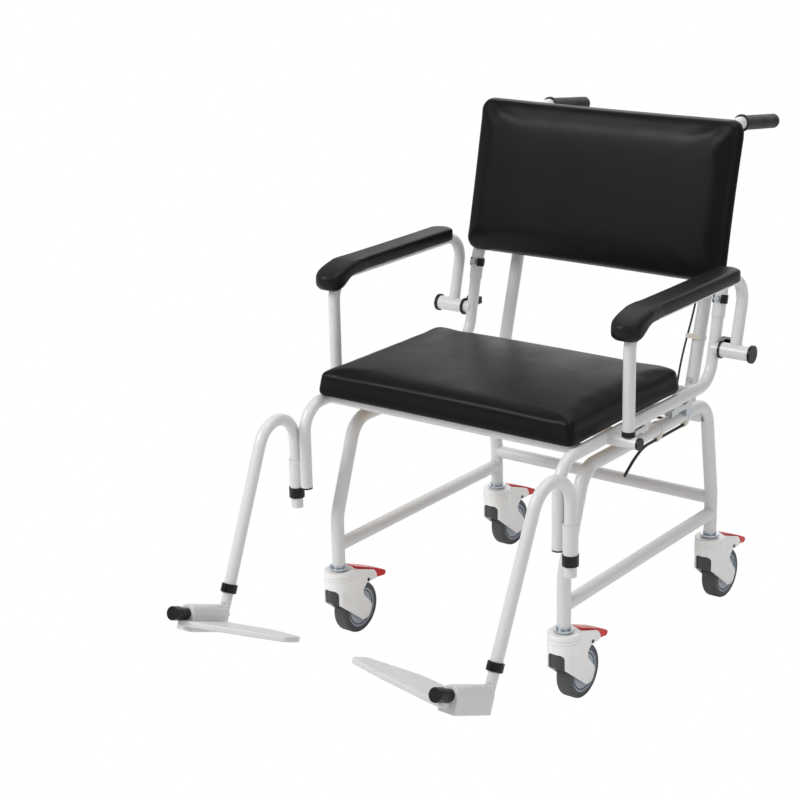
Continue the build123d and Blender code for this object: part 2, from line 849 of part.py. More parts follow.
# Sliding inner tube, cut away to a half-round tang behind the footplate's hub
pin_centre = foot_end + foot_way * pin_drop
hub_way = Vector(0, -cos(radians(hub_pitch)), sin(radians(hub_pitch)))
hub_up = Vector(0, sin(radians(hub_pitch)), cos(radians(hub_pitch)))
pin_plane = Plane(origin=pin_centre, x_dir=(1, 0, 0), z_dir=hub_way)
hub_plane = pin_plane.offset(tang_front + gap)

with BuildPart() as footrest_slide:
    with BuildSketch(foot_plane.offset(slide_inside)):
        Circle(slide_od / 2)
    extrude(amount=-(slide_inside + pin_drop + tang_below))
    with BuildSketch(foot_plane.offset(slide_inside)):
        Circle(slide_od / 2 - tube_wall)
    extrude(amount=-(slide_inside + pin_drop - pin_clear - tang_solid), mode=Mode.SUBTRACT)
    with BuildSketch(pin_plane.offset(tang_front)):
        with Locations((0, (pin_clear - tang_below - overrun) / 2)):
            Rectangle(slide_od + overrun, pin_clear + tang_below + overrun)
    extrude(amount=slide_od, mode=Mode.SUBTRACT)
    with BuildSketch(pin_plane):
        Circle(pivot_pin_d / 2 + running_fit)
    extrude(amount=slide_od, both=True, mode=Mode.SUBTRACT)
save_pair(toed(footrest_slide.part), "footrest_slide")

# Footplate: a hub with a rounded top, and the plate that it carries towards the middle
roll = radians(plate_roll)
plate_in = Vector(-cos(roll), 0, 0) + hub_up * sin(roll)
plate_up = Vector(sin(roll), 0, 0) + hub_up * cos(roll)
plate_plane = Plane(origin=pin_centre, x_dir=plate_in, z_dir=plate_up)

with BuildPart() as sole:
    with BuildSketch(plate_plane.offset(-plate_top_drop)) as sole_face:
        with BuildLine():
            Polyline(
                (-plate_outer, plate_front),
                (plate_bend_in, plate_front_bend),
                (plate_reach, plate_tip_front),
                (plate_reach, plate_tip_back),
                (plate_bend_in, plate_back),
                (-plate_outer, plate_back),
                close=True,
            )
        make_face()
        for across, radius in (
            (plate_reach, plate_corner), (plate_bend_in, plate_bend_round), (-plate_outer, plate_corner),
        ):
            fillet(sole_face.vertices().filter_by_position(Axis.X, across - gap, across + gap), radius=radius)
    extrude(amount=-plate_thickness)
    rims = sole.faces().filter_by(lambda f: abs(f.normal_at().dot(plate_up)) > 0.99).edges()
    fillet(rims, radius=plate_edge_round)

with BuildPart() as footplate:
    with BuildSketch(hub_plane):
        Circle(hub_width / 2)
        with Locations((0, -hub_below / 2)):
            Rectangle(hub_width, hub_below)
    extrude(amount=hub_length)
    fillet(footplate.edges(), radius=hub_round)
    add(sole.part)
    with BuildSketch(hub_plane):
        Circle(pivot_pin_d / 2 + running_fit)
    extrude(amount=hub_length + overrun, mode=Mode.SUBTRACT)
    with BuildSketch(hub_plane.offset(hub_length + knob_neck_length)):
        Circle(knob_d / 2 + 2 * gap)
    extrude(amount=knob_length, mode=Mode.SUBTRACT)
save_pair(toed(footplate.part), "footplate")

# Pivot pin with its knob in front of the hub
with BuildPart() as footplate_pivot:
    with BuildSketch(pin_plane.offset(-slide_od / 2)):
        Circle(pivot_pin_d / 2)
    extrude(amount=slide_od / 2 + tang_front + hub_length + knob_neck_length)
    with BuildSketch(hub_plane.offset(hub_length + gap)):
        Circle(knob_neck_d / 2)
    extrude(amount=knob_neck_length)
    with BuildSketch(hub_plane.offset(hub_length + gap + knob_neck_length)):
        Circle(knob_d / 2)
    extrude(amount=knob_length)
    knob_rims = footplate_pivot.edges().filter_by(GeomType.CIRCLE).filter_by(
        lambda e: abs(e.radius - knob_d / 2) < gap)
    fillet(knob_rims, radius=knob_round)
save_pair(toed(footplate_pivot.part), "footplate_pivot")

# Caster stems: an expander in the leg, a zinc washer and nut under it and the swivel pin below
stem_top_z = stem_washer_z + stem_washer_height
stem_stages = [
    (stem_d, stem_bottom_z, leg_bottom_z),
    (stem_nut_od, head_top_z + gap, stem_washer_z),
    (stem_washer_od, stem_washer_z, stem_top_z),
    (stem_neck_od, stem_top_z, leg_bottom_z),
    (2 * (base_r - tube_wall), leg_bottom_z, leg_bottom_z + expander_length),
]

with BuildPart() as caster_stems:
    for side in (-1, 1):
        for end in (-1, 1):
            for across, low, high in stem_stages:
                with BuildSketch(Plane(origin=(side * leg_x, end * leg_y, low))):
                    Circle(across / 2)
                extrude(amount=high - low)
save(caster_stems.part, "caster_stems")

# One caster about its own stem, trailing towards +Y, copied to the four legs
shell_side = Plane(origin=(-shell_half, 0, 0), x_dir=(0, 1, 0), z_dir=(1, 0, 0))
axle_plane = Plane(origin=(0, wheel_trail, wheel_r), x_dir=(0, 1, 0), z_dir=(1, 0, 0))
pocket_half = wheel_width / 2 + pocket_clear
lobe_points = [
    (wheel_trail - shell_tip_lead, shell_tip_z),
    (wheel_trail + shell_tip_trail, shell_tip_z),
    (wheel_trail + shell_tip_rear, wheel_r),
]
shell_points = [
    (-shell_front, head_bottom_z),
    (-shell_front, shell_front_low_z),
    *lobe_points,
    (shell_notch_y, shell_notch_low_z),
    (shell_notch_y, shell_notch_high_z),
    (shell_arm_low_y, shell_arm_low_z),
    (shell_arm_y, shell_arm_low_z),
    (shell_arm_end_y, shell_arm_end_z),
    (shell_arm_knee_y, shell_arm_knee_z),
    (shell_arm_top_y, shell_arm_top_z),
]

# The hollow in front of the wheel, and the window that leaves a thin guard in front of it
with BuildPart() as toe_hollow:
    with BuildSketch(Plane.XY):
        Circle(toe_guard_r - toe_guard_wall)
        Rectangle(2 * pocket_half, 2 * head_od, mode=Mode.INTERSECT)
    extrude(amount=toe_guard_top_z)

with BuildPart() as toe_window:
    with BuildSketch(Plane(origin=(0, 0, 0), x_dir=(1, 0, 0), z_dir=(0, -1, 0))):
        with Locations((0, toe_window_top_z - toe_window_height / 2)):
            RectangleRounded(2 * toe_window_half, toe_window_height, toe_window_round)
    extrude(amount=head_od)
    with BuildSketch(Plane.XY):
        Circle(toe_guard_r)
    extrude(amount=head_top_z, mode=Mode.SUBTRACT)

# The round swivel head, with two grooves
with BuildPart() as caster_head:
    with BuildSketch(Plane.XY.offset(head_bottom_z - shell_neck)):
        Circle(head_od / 2)
    extrude(amount=head_top_z - head_bottom_z + shell_neck)
    fillet(caster_head.edges().sort_by(Axis.Z)[-1], radius=shell_edge_round)
    for drop in head_groove_drops:
        with BuildSketch(Plane.XY.offset(head_top_z - drop)):
            Circle(head_od / 2 + overrun)
            Circle(head_od / 2 - head_groove, mode=Mode.SUBTRACT)
        extrude(amount=head_groove, mode=Mode.SUBTRACT)

with BuildPart() as caster_housing:
    with BuildSketch(shell_side) as cheek:
        with BuildLine():
            Polyline(*shell_points, close=True)
        make_face()
        fillet(cheek.vertices().sort_by(Axis.Y)[len(lobe_points):], radius=shell_arm_round)
        fillet(cheek.vertices().sort_by(Axis.Y)[:len(lobe_points)], radius=shell_lobe_round)
    extrude(amount=2 * shell_half)
    cheek_rims = caster_housing.faces().filter_by(Axis.X).edges()
    fillet(cheek_rims, radius=shell_edge_round)
    with BuildSketch(Plane.XY):
        Circle(head_od / 2)
        Rectangle(2 * shell_half, 4 * head_od, align=(Align.CENTER, Align.MIN))
    extrude(amount=head_top_z, mode=Mode.INTERSECT)
    add(caster_head.part)
    with BuildSketch(axle_plane) as pocket:
        Circle(wheel_r + pocket_clear)
        with Locations((0, -wheel_r)):
            Rectangle(2 * (wheel_r + pocket_clear), 2 * wheel_r)
    extrude(amount=pocket_half, both=True, mode=Mode.SUBTRACT)
    with Locations((0, pedal_front_y - gap, wheel_r)):
        Box(
            2 * pocket_half, 2 * head_od, 2 * head_od,
            align=(Align.CENTER, Align.MIN, Align.MIN), mode=Mode.SUBTRACT,
        )
    add(toe_hollow.part, mode=Mode.SUBTRACT)
    add(toe_window.part, mode=Mode.SUBTRACT)
    with Locations((0, 0, stem_bottom_z - gap)):
        Cylinder(
            stem_d / 2 + running_fit, head_top_z, align=(Align.CENTER, Align.CENTER, Align.MIN),
            mode=Mode.SUBTRACT,
        )
    with BuildSketch(axle_plane):
        Circle(axle_d / 2 + running_fit)
    extrude(amount=axle_length / 2 + running_fit, both=True, mode=Mode.SUBTRACT)
    with BuildSketch(Plane(origin=(0, pedal_pivot_y, pedal_pivot_z), x_dir=(0, 1, 0), z_dir=(1, 0, 0))):
        Circle(pedal_pin_d / 2 + running_fit)
    extrude(amount=shell_half + overrun, both=True, mode=Mode.SUBTRACT)

# Red brake pedal with its pivot pin through both cheeks
with BuildPart() as caster_pedal:
    pedal_side = Plane(origin=(-pedal_width / 2, 0, 0), x_dir=(0, 1, 0), z_dir=(1, 0, 0))
    with BuildSketch(pedal_side) as lever:
        with BuildLine():
            Polyline(
                (pedal_front_y, pedal_front_z),
                (pedal_knee_y, pedal_knee_z),
                (pedal_tip_y, pedal_tip_z),
                (pedal_tip_y + pedal_lip, pedal_tip_z - pedal_tip_height / 2),
                (pedal_tip_y, pedal_tip_z - pedal_tip_height),
                (pedal_heel_y, pedal_heel_z),
                (pedal_pivot_y + pedal_lip, pedal_pivot_z - pedal_foot),
                (pedal_pivot_y - pedal_lip, pedal_pivot_z - pedal_foot + pedal_pin_d / 4),
                (pedal_front_y, pedal_front_z - pedal_lip),
                close=True,
            )
        make_face()
        fillet(lever.vertices(), radius=pedal_round)
    extrude(amount=pedal_width)
    with BuildSketch(Plane(origin=(0, pedal_pivot_y, pedal_pivot_z), x_dir=(0, 1, 0), z_dir=(1, 0, 0))):
        Circle(pedal_pin_d / 2)
    extrude(amount=shell_half, both=True)

# Wheel: a dished hub with a ring groove, and the tread moulded on to it
with BuildPart() as caster_wheel:
    with BuildSketch(axle_plane):
        Circle(wheel_r)
    extrude(amount=wheel_width / 2, both=True)
    tread_rims = caster_wheel.edges().filter_by(GeomType.CIRCLE)
    fillet(tread_rims, radius=tread_round)
    for face in (-1, 1):
        with BuildSketch(axle_plane.offset(face * wheel_width / 2)):
            Circle(hub_r)
            Circle(wheel_boss_r, mode=Mode.SUBTRACT)
        extrude(amount=-face * dish_depth, mode=Mode.SUBTRACT)
        with BuildSketch(axle_plane.offset(face * (wheel_width / 2 - dish_depth))):
            Circle(hub_ring_r)
            Circle(hub_ring_r - hub_groove, mode=Mode.SUBTRACT)
        extrude(amount=-face * hub_groove, mode=Mode.SUBTRACT)
    with BuildSketch(axle_plane):
        Circle(axle_d / 2 + running_fit)
    extrude(amount=wheel_width, both=True, mode=Mode.SUBTRACT)

with BuildPart() as caster_axle:
    with BuildSketch(axle_plane):
        Circle(axle_d / 2)
    extrude(amount=axle_length / 2, both=True)

caster_pieces = {
    "caster_housing": caster_housing.part,
    "caster_pedal": caster_pedal.part,
    "caster_wheel": caster_wheel.part,
    "caster_axle": caster_axle.part,
}
corners = {
    "front_left": (-leg_x, -leg_y),
    "front_right": (leg_x, -leg_y),
    "rear_left": (-leg_x, leg_y),
    "rear_right": (leg_x, leg_y),
}
for corner, (x, y) in corners.items():
    for name, piece in caster_pieces.items():
        save(piece.moved(Location((x, y, 0))), f"{name}_{corner}")

# Load cells: four bending beams, necked in the middle, with a bolt hole at each end
cell_top_z = cell_bottom_z + cell_height
cell_end = mount_length / 2
cells = []
for side in (-1, 1):
    for start_y, toward in ((cell_front_y, 1), (cell_rear_y + cell_length, -1)):
        low_y = start_y + toward * cell_end
        high_y = start_y + toward * (cell_length - cell_end)
        cells.append((side, low_y, high_y))

with BuildPart() as load_cells:
    for side, low_y, high_y in cells:
        middle = (side * cell_x, (low_y + high_y) / 2)
        with Locations((*middle, cell_bottom_z + cell_height / 2)):
            Box(cell_width, cell_length, cell_height)
        for level in (cell_bottom_z, cell_top_z):
            with Locations((*middle, level)):
                Box(cell_width, cell_neck_length, 2 * cell_neck_depth, mode=Mode.SUBTRACT)
        with Locations((side * cell_x, low_y, cell_bottom_z), (side * cell_x, high_y, cell_bottom_z)):
            Cylinder(cell_bolt_d / 2 + running_fit, 2 * cell_height, mode=Mode.SUBTRACT)
save(load_cells.part, "load_cells")

# Mount blocks: from the base rail up to one end, and from the other end up to the seat rail
with BuildPart() as load_cell_mounts:
    for side, low_y, high_y in cells:
        outer_x = cell_x + cell_width / 2
        with Locations((side * (leg_x + outer_x) / 2, low_y, cell_bottom_z - mount_depth / 2)):
            Box(outer_x - leg_x, mount_length, mount_depth)
        with Locations((side * (seat_x + cell_x - cell_width / 2) / 2, high_y, cell_top_z + mount_depth / 2)):
            Box(seat_x - cell_x + cell_width / 2, mount_length, mount_depth)
        with Locations((side * cell_x, low_y, cell_bottom_z), (side * cell_x, high_y, cell_top_z)):
            Cylinder(cell_bolt_d / 2 + running_fit, 2 * cell_bolt_grip, mode=Mode.SUBTRACT)
    add(base_side_bars.part, mode=Mode.SUBTRACT)
    add(seat_side_bars.part, mode=Mode.SUBTRACT)
save(load_cell_mounts.part, "load_cell_mounts")

# Junction box in front of the rear cross tube, with two cable glands on its right end
box_front_y = rear_cross_y - base_r - box_depth
box_low_z = rear_cross_z - box_height / 2
lid_z = box_low_z + box_height - box_lid_height

with BuildPart() as junction_box:
    with Locations((box_in_x, box_front_y, box_low_z)):
        Box(box_out_x - box_in_x, box_depth, box_height, align=(Align.MIN, Align.MIN, Align.MIN))
    fillet(junction_box.edges().filter_by(Axis.Z), radius=box_corner)
    with BuildSketch(Plane(origin=((box_in_x + box_out_x) / 2, box_front_y + box_depth / 2, lid_z))):
        RectangleRounded(box_out_x - box_in_x + overrun, box_depth + overrun, box_corner)
        RectangleRounded(
            box_out_x - box_in_x - 2 * box_lid_line, box_depth - 2 * box_lid_line, box_corner - box_lid_line,
            mode=Mode.SUBTRACT,
        )
    extrude(amount=box_lid_line, mode=Mode.SUBTRACT)
    fillet(junction_box.faces().sort_by(Axis.Z)[-1].edges(), radius=box_lid_line)
    for gland_y, lead_d in ((indicator_gland_y, indicator_lead_d), (rail_gland_y, rail_lead_d)):
        with BuildSketch(Plane(origin=(box_out_x, gland_y, rear_cross_z), z_dir=(1, 0, 0))):
            RegularPolygon(gland_d / 2, 6)
        extrude(amount=gland_length)
        with BuildSketch(Plane(origin=(box_out_x, gland_y, rear_cross_z), z_dir=(1, 0, 0))):
            Circle(lead_d / 2 + running_fit)
        extrude(amount=gland_length, mode=Mode.SUBTRACT)
save(junction_box.part, "junction_box")


def cord(points, diameter):
    """A lead along straight runs with wide bends, and its two end points."""
    bends = []
    places = [Vector(*point) for point in points]
    for before, here, after in zip(places, places[1:], places[2:]):
        turn = (here - before).get_angle(after - here)
        shorter = min((here - before).length, (after - here).length)
        bends.append(bend_share * shorter / tan(radians(turn / 2)))
    return rod(points, bends, diameter)


# Lead from the junction box up the inner side of the right push post to the display
def beside_post(z, forward=0.0):
    """A point on the post's inner side at height z of its axis, moved forward."""
    at = Vector(post_lead_x, post_y(z), z) + post_front * forward
    return (at.X, at.Y, at.Z)


bar_lead_drop = frame_r + indicator_lead_d / 2 + gap
indicator_route = [
    (box_out_x, indicator_gland_y, rear_cross_z),
    (box_out_x + lead_first_run, indicator_gland_y, rear_cross_z),
    (post_lead_x, lead_bulge_y, lead_bulge_z),
    beside_post(lead_bulge_top_z, lead_bulge_front),
    beside_post(post_clip_zs[0] + lead_clip_rise, post_lead_front),
    beside_post(lead_settle_z, lead_settle_front),
    beside_post(lead_turn_z, lead_settle_front),
    (post_lead_x - lead_turn_in, handle_cross_y, handle_cross_z - bar_lead_drop),
    (0, handle_cross_y, handle_cross_z - bar_lead_drop),
]

with BuildPart() as indicator_lead:
    add(cord(indicator_route, indicator_lead_d))
save(indicator_lead.part, "indicator_lead")

# Lead under the right base rail, and the loose tail that hangs from it
rail_route = [
    (box_out_x, rail_gland_y, rear_cross_z),
    (leg_x - lead_corner_x, rail_gland_y, rear_cross_z),
    (leg_x, rail_gland_y - lead_corner_y, rail_lead_z),
    (leg_x, tail_start_y, rail_lead_z),
]

with BuildPart() as rail_lead:
    add(cord(rail_route, rail_lead_d))
save(rail_lead.part, "rail_lead")

tail_route = [
    (leg_x, tail_start_y, rail_lead_z),
    (leg_x, tail_bow_y, rail_lead_z),
    (leg_x, tail_end_y, tail_end_z),
]

with BuildPart() as lead_tail:
    add(cord(tail_route, rail_lead_d))
    with Locations((leg_x, tail_end_y, tail_end_z)):
        Sphere(rail_lead_d / 2)
save(lead_tail.part, "lead_tail")


def clip(tube_at, tube_way, tube_d, lead_at, lead_d):
    """A plastic clip closed round a tube and a lead beside it."""
    plane = Plane(origin=tube_at, z_dir=tube_way)
    lead_spot = plane.to_local_coords(Vector(*lead_at))
    with BuildPart() as loop:
        with BuildSketch(plane):
            with BuildSketch(mode=Mode.PRIVATE) as rounds:
                Circle(tube_d / 2 + clip_wall)
                with Locations((lead_spot.X, lead_spot.Y)):
                    Circle(lead_d / 2 + clip_wall)
            make_hull(rounds.edges())
            Circle(tube_d / 2 + running_fit, mode=Mode.SUBTRACT)
        extrude(amount=clip_length / 2, both=True)
    return loop.part


post_clip_fronts = [(lead_bulge_front + post_lead_front) / 2, lead_settle_front]

with BuildPart() as cable_clips:
    for y in rail_clip_ys:
        add(clip((leg_x, y, base_rail_z), (0, 1, 0), base_od, (leg_x, y, rail_lead_z), rail_lead_d))
    for z, forward in zip(post_clip_zs, post_clip_fronts):
        add(clip((post_x, post_y(z), z), post_up, base_od, beside_post(z, forward), indicator_lead_d))
    lead_at = (bar_clip_x, handle_cross_y, handle_cross_z - bar_lead_drop)
    add(clip((bar_clip_x, handle_cross_y, handle_cross_z), (1, 0, 0), frame_od, lead_at, indicator_lead_d))
    add(cord(rail_route, rail_lead_d + 2 * running_fit), mode=Mode.SUBTRACT)
    add(cord(indicator_route, indicator_lead_d + 2 * running_fit), mode=Mode.SUBTRACT)
save(cable_clips.part, "cable_clips")

# Bracket for the display: a clamp on the handle cross bar with two ears and the tilt pin
tilt_side = Plane(origin=(0, 0, 0), x_dir=(0, 1, 0), z_dir=(1, 0, 0))

with BuildPart() as indicator_bracket:
    for ear in (-1, 1):
        with BuildSketch(tilt_side.offset(ear * tilt_ear_x)):
            with BuildSketch(mode=Mode.PRIVATE) as ear_rounds:
                with Locations((handle_cross_y, handle_cross_z)):
                    Circle(frame_r + clamp_wall)
                with Locations((tilt_axis_y, tilt_axis_z)):
                    Circle(tilt_ear_r)
            make_hull(ear_rounds.edges())
        extrude(amount=ear * tilt_ear_width)
    with BuildSketch(tilt_side):
        with Locations((handle_cross_y, handle_cross_z)):
            Circle(frame_r + clamp_wall)
    extrude(amount=tilt_ear_x, both=True)
    with BuildSketch(tilt_side):
        with Locations((handle_cross_y, handle_cross_z)):
            Circle(frame_r + running_fit)
    extrude(amount=tilt_ear_x + tilt_ear_width + overrun, both=True, mode=Mode.SUBTRACT)
    with BuildSketch(tilt_side):
        with Locations((handle_cross_y, handle_cross_z - bar_lead_drop)):
            Circle(indicator_lead_d / 2 + running_fit)
    extrude(amount=tilt_ear_x + tilt_ear_width + overrun, mode=Mode.SUBTRACT)
    with BuildSketch(tilt_side):
        with Locations((tilt_axis_y, tilt_axis_z)):
            Circle(tilt_pin_d / 2)
    extrude(amount=tilt_ear_x + tilt_ear_width, both=True)
    for ear in (-1, 1):
        with BuildSketch(tilt_side.offset(ear * (tilt_ear_x + tilt_ear_width))):
            with Locations((tilt_axis_y, tilt_axis_z)):
                Circle(tilt_knob_d / 2)
        extrude(amount=ear * tilt_knob_length)
save(indicator_bracket.part, "indicator_bracket")

# Display case, in its own frame: x to the viewer's right, y up the face, z out of it
face_plane = Plane(
    origin=(0, case_y, case_z),
    x_dir=(-1, 0, 0),
    z_dir=(0, cos(radians(case_tilt)), sin(radians(case_tilt))),
)
tilt_spot = face_plane.to_local_coords(Vector(0, tilt_axis_y, tilt_axis_z))
windows = (weight_window, total_window)
inner_front = case_front_depth - case_wall

with BuildPart() as indicator_case_front:
    with BuildSketch(face_plane):
        RectangleRounded(case_width, case_height, case_corner)
    extrude(amount=case_front_depth)
    outer_rim = indicator_case_front.faces().sort_by(Axis(face_plane.origin, face_plane.z_dir))[-1].edges()
    fillet(outer_rim, radius=case_edge_round)
    with BuildSketch(face_plane.offset(inner_front)):
        with Locations((0, (case_lip_height - case_height) / 2 + case_wall / 2)):
            RectangleRounded(case_width - case_corner, case_lip_height, case_lip)
    extrude(amount=case_wall + case_lip)
    with BuildSketch(face_plane):
        RectangleRounded(case_width - 2 * case_wall, case_height - 2 * case_wall, case_corner - case_wall)
    extrude(amount=inner_front, mode=Mode.SUBTRACT)
    with BuildSketch(face_plane.offset(inner_front)):
        with GridLocations(2 * boss_x, 2 * boss_y, 2, 2):
            Circle(boss_d / 2)
    extrude(amount=board_depth_in_case + board_sheet - inner_front)
    with BuildSketch(face_plane.offset(case_front_depth - overlay_depth)):
        with Locations((0, overlay_rise)):
            RectangleRounded(overlay_width, overlay_height, overlay_corner)
    extrude(amount=2 * case_lip, mode=Mode.SUBTRACT)
    for width, height, x, y in windows:
        with BuildSketch(face_plane.offset(inner_front)):
            with Locations((x, y)):
                RectangleRounded(width, height, window_corner)
        extrude(amount=case_wall, mode=Mode.SUBTRACT)
save(indicator_case_front.part, "indicator_case_front")

with BuildPart() as indicator_case_rear:
    with BuildSketch(face_plane):
        RectangleRounded(case_width, case_height, case_corner)
    extrude(amount=-case_rear_depth)
    back_rim = indicator_case_rear.faces().sort_by(Axis(face_plane.origin, face_plane.z_dir))[0].edges()
    fillet(back_rim, radius=case_edge_round)
    for lug in (-1, 1):
        lug_plane = tilt_side.offset(lug * tilt_lug_x - tilt_lug_width / 2)
        with BuildSketch(lug_plane):
            with BuildSketch(mode=Mode.PRIVATE) as lug_rounds:
                with Locations((tilt_axis_y, tilt_axis_z)):
                    Circle(tilt_ear_r)
                with Locations((case_y, case_z)):
                    Circle(tilt_ear_r)
            make_hull(lug_rounds.edges())
        extrude(amount=tilt_lug_width)
    with BuildSketch(face_plane):
        RectangleRounded(case_width - 2 * case_wall, case_height - 2 * case_wall, case_corner - case_wall)
    extrude(amount=case_wall - case_rear_depth, mode=Mode.SUBTRACT)
    with BuildSketch(face_plane):
        Rectangle(case_width, case_height)
    extrude(amount=case_front_depth, mode=Mode.SUBTRACT)
    with BuildSketch(tilt_side):
        with Locations((tilt_axis_y, tilt_axis_z)):
            Circle(tilt_pin_d / 2 + running_fit)
    extrude(amount=tilt_ear_x, both=True, mode=Mode.SUBTRACT)
save(indicator_case_rear.part, "indicator_case_rear")

# Overlay film with raised membrane keys
with BuildPart() as indicator_overlay:
    with BuildSketch(face_plane.offset(case_front_depth - overlay_depth)):
        with Locations((0, overlay_rise)):
            RectangleRounded(overlay_width - gap, overlay_height - gap, overlay_corner)
        for width, height, x, y in windows:
            with Locations((x, y)):
                RectangleRounded(width, height, window_corner, mode=Mode.SUBTRACT)
    extrude(amount=overlay_depth)
    with BuildSketch(face_plane.offset(case_front_depth)):
        with Locations((keypad_x, keypad_y)):
            with GridLocations(key_pitch_x, key_pitch_y, key_columns, key_rows):
                RectangleRounded(key_width, key_height, key_corner)
    extrude(amount=key_rise)
save(indicator_overlay.part, "indicator_overlay")

# Two display modules on the circuit board
board_top = board_depth_in_case + board_sheet

with BuildPart() as lcd_modules:
    for width, height, x, y in windows:
        with BuildSketch(face_plane.offset(board_top)):
            with Locations((x, y)):
                Rectangle(width + lcd_frame, height + lcd_frame)
        extrude(amount=inner_front - gap - board_top)
        with BuildSketch(face_plane.offset(inner_front - gap)):
            with Locations((x, y)):
                RectangleRounded(width - gap, height - gap, window_corner)
        extrude(amount=case_wall + gap - lcd_sink)
save(lcd_modules.part, "lcd_modules")

with BuildPart() as indicator_board:
    with BuildSketch(face_plane.offset(board_depth_in_case)):
        Rectangle(case_width - 2 * board_side, case_height - 2 * board_end)
    extrude(amount=board_sheet)
save(indicator_board.part, "indicator_board")

# Battery pack: round cells in a tray against the rear wall
with BuildPart() as battery_pack:
    tray_plane = face_plane.offset(case_wall - case_rear_depth)
    with BuildSketch(tray_plane):
        with Locations((battery_offset, 0)):
            Rectangle(battery_width, battery_height)
    extrude(amount=battery_depth / 2)
    for step in range(battery_count):
        spot = (step - (battery_count - 1) / 2) * battery_height / battery_count
        cell_start = Vector(battery_offset - battery_width / 2, spot, battery_depth / 2)
        with BuildSketch(Plane(origin=tray_plane.from_local_coords(cell_start), z_dir=tray_plane.x_dir)):
            Circle(battery_cell_d / 2)
        extrude(amount=battery_width)
save(battery_pack.part, "battery_pack")

# Bolts: load cells, armrest pivots, backrest sleeves and push posts
with BuildPart() as frame_bolts:
    for side, low_y, high_y in cells:
        for y, head_z, way in ((low_y, cell_top_z, -1), (high_y, cell_bottom_z, 1)):
            with BuildSketch(Plane(origin=(side * cell_x, y, head_z))):
                Circle(cell_bolt_d / 2)
            extrude(amount=way * (cell_height + cell_bolt_grip))
            with BuildSketch(Plane(origin=(side * cell_x, y, head_z))):
                RegularPolygon(bolt_head_d / 2, 6)
            extrude(amount=-way * bolt_head_height)
    for side in (-1, 1):
        with BuildSketch(Plane(origin=(side * seat_x, arm_pivot_y, arm_pivot_z), z_dir=(side, 0, 0))):
            Circle(pivot_bolt_d / 2)
        extrude(amount=barrel_out_x + gap - seat_x)
        bolt_plane = back_plane(sleeve_bolt_z, x=side * seat_x)
        for face, seat in ((1, sleeve_r), (-1, sleeve_r + saddle_wall)):
            with BuildSketch(bolt_plane):
                Circle(sleeve_bolt_d / 2)
            extrude(amount=face * seat)
            with BuildSketch(bolt_plane.offset(face * seat)):
                RegularPolygon(bolt_nut_d / 2, 6)
            extrude(amount=face * bolt_nut_height)
        front_plane = Plane(
            origin=(side * post_x, post_bolt_plane.origin.Y, post_bolt_plane.origin.Z),
            x_dir=(1, 0, 0),
            z_dir=post_front,
        )
        with BuildSketch(front_plane):
            Circle(cell_bolt_d / 2)
        extrude(amount=-post_bolt_shank)
        with BuildSketch(front_plane):
            Circle(bolt_head_d / 2)
        extrude(amount=bolt_head_height)
save(frame_bolts.part, "frame_bolts")

# Back clips: saddles under the sleeve bolts, open in front, and the clips that hold the pad to the tube
back_up = Vector(0, sin(radians(back_lean)), cos(radians(back_lean)))

with BuildPart() as back_clips:
    for side in (-1, 1):
        saddle_plane = Plane(
            origin=(side * seat_x, back_y(sleeve_bolt_z), sleeve_bolt_z), x_dir=(1, 0, 0), z_dir=back_up,
        )
        with BuildSketch(saddle_plane.offset(-saddle_height / 2)):
            Circle(sleeve_r + saddle_wall)
            with Locations((0, -sleeve_r)):
                Rectangle(bolt_nut_d + 4 * gap, 2 * sleeve_r, mode=Mode.SUBTRACT)
            Circle(sleeve_r + running_fit, mode=Mode.SUBTRACT)
        extrude(amount=saddle_height)
        with BuildSketch(back_plane(sleeve_bolt_z, x=side * seat_x)):
            Circle(sleeve_bolt_d / 2 + running_fit)
        extrude(amount=-sleeve_od, mode=Mode.SUBTRACT)
        for z in pad_clip_zs:
            clip_plane = Plane(origin=(side * back_narrow_x, back_y(z), z), x_dir=(1, 0, 0), z_dir=back_up)
            foot_mid = -side * (sleeve_r + pad_clip_foot / 2)
            with BuildSketch(clip_plane):
                Circle(sleeve_r + pad_clip_wall)
                with Locations((foot_mid, -sleeve_r + pad_clip_wall / 2)):
                    Rectangle(pad_clip_foot + sleeve_r, pad_clip_wall)
                with Locations((0, -2 * sleeve_r)):
                    Rectangle(4 * sleeve_r, 2 * sleeve_r, mode=Mode.SUBTRACT)
                Circle(sleeve_r + running_fit, mode=Mode.SUBTRACT)
            extrude(amount=pad_clip_height)
save(back_clips.part, "back_clips")

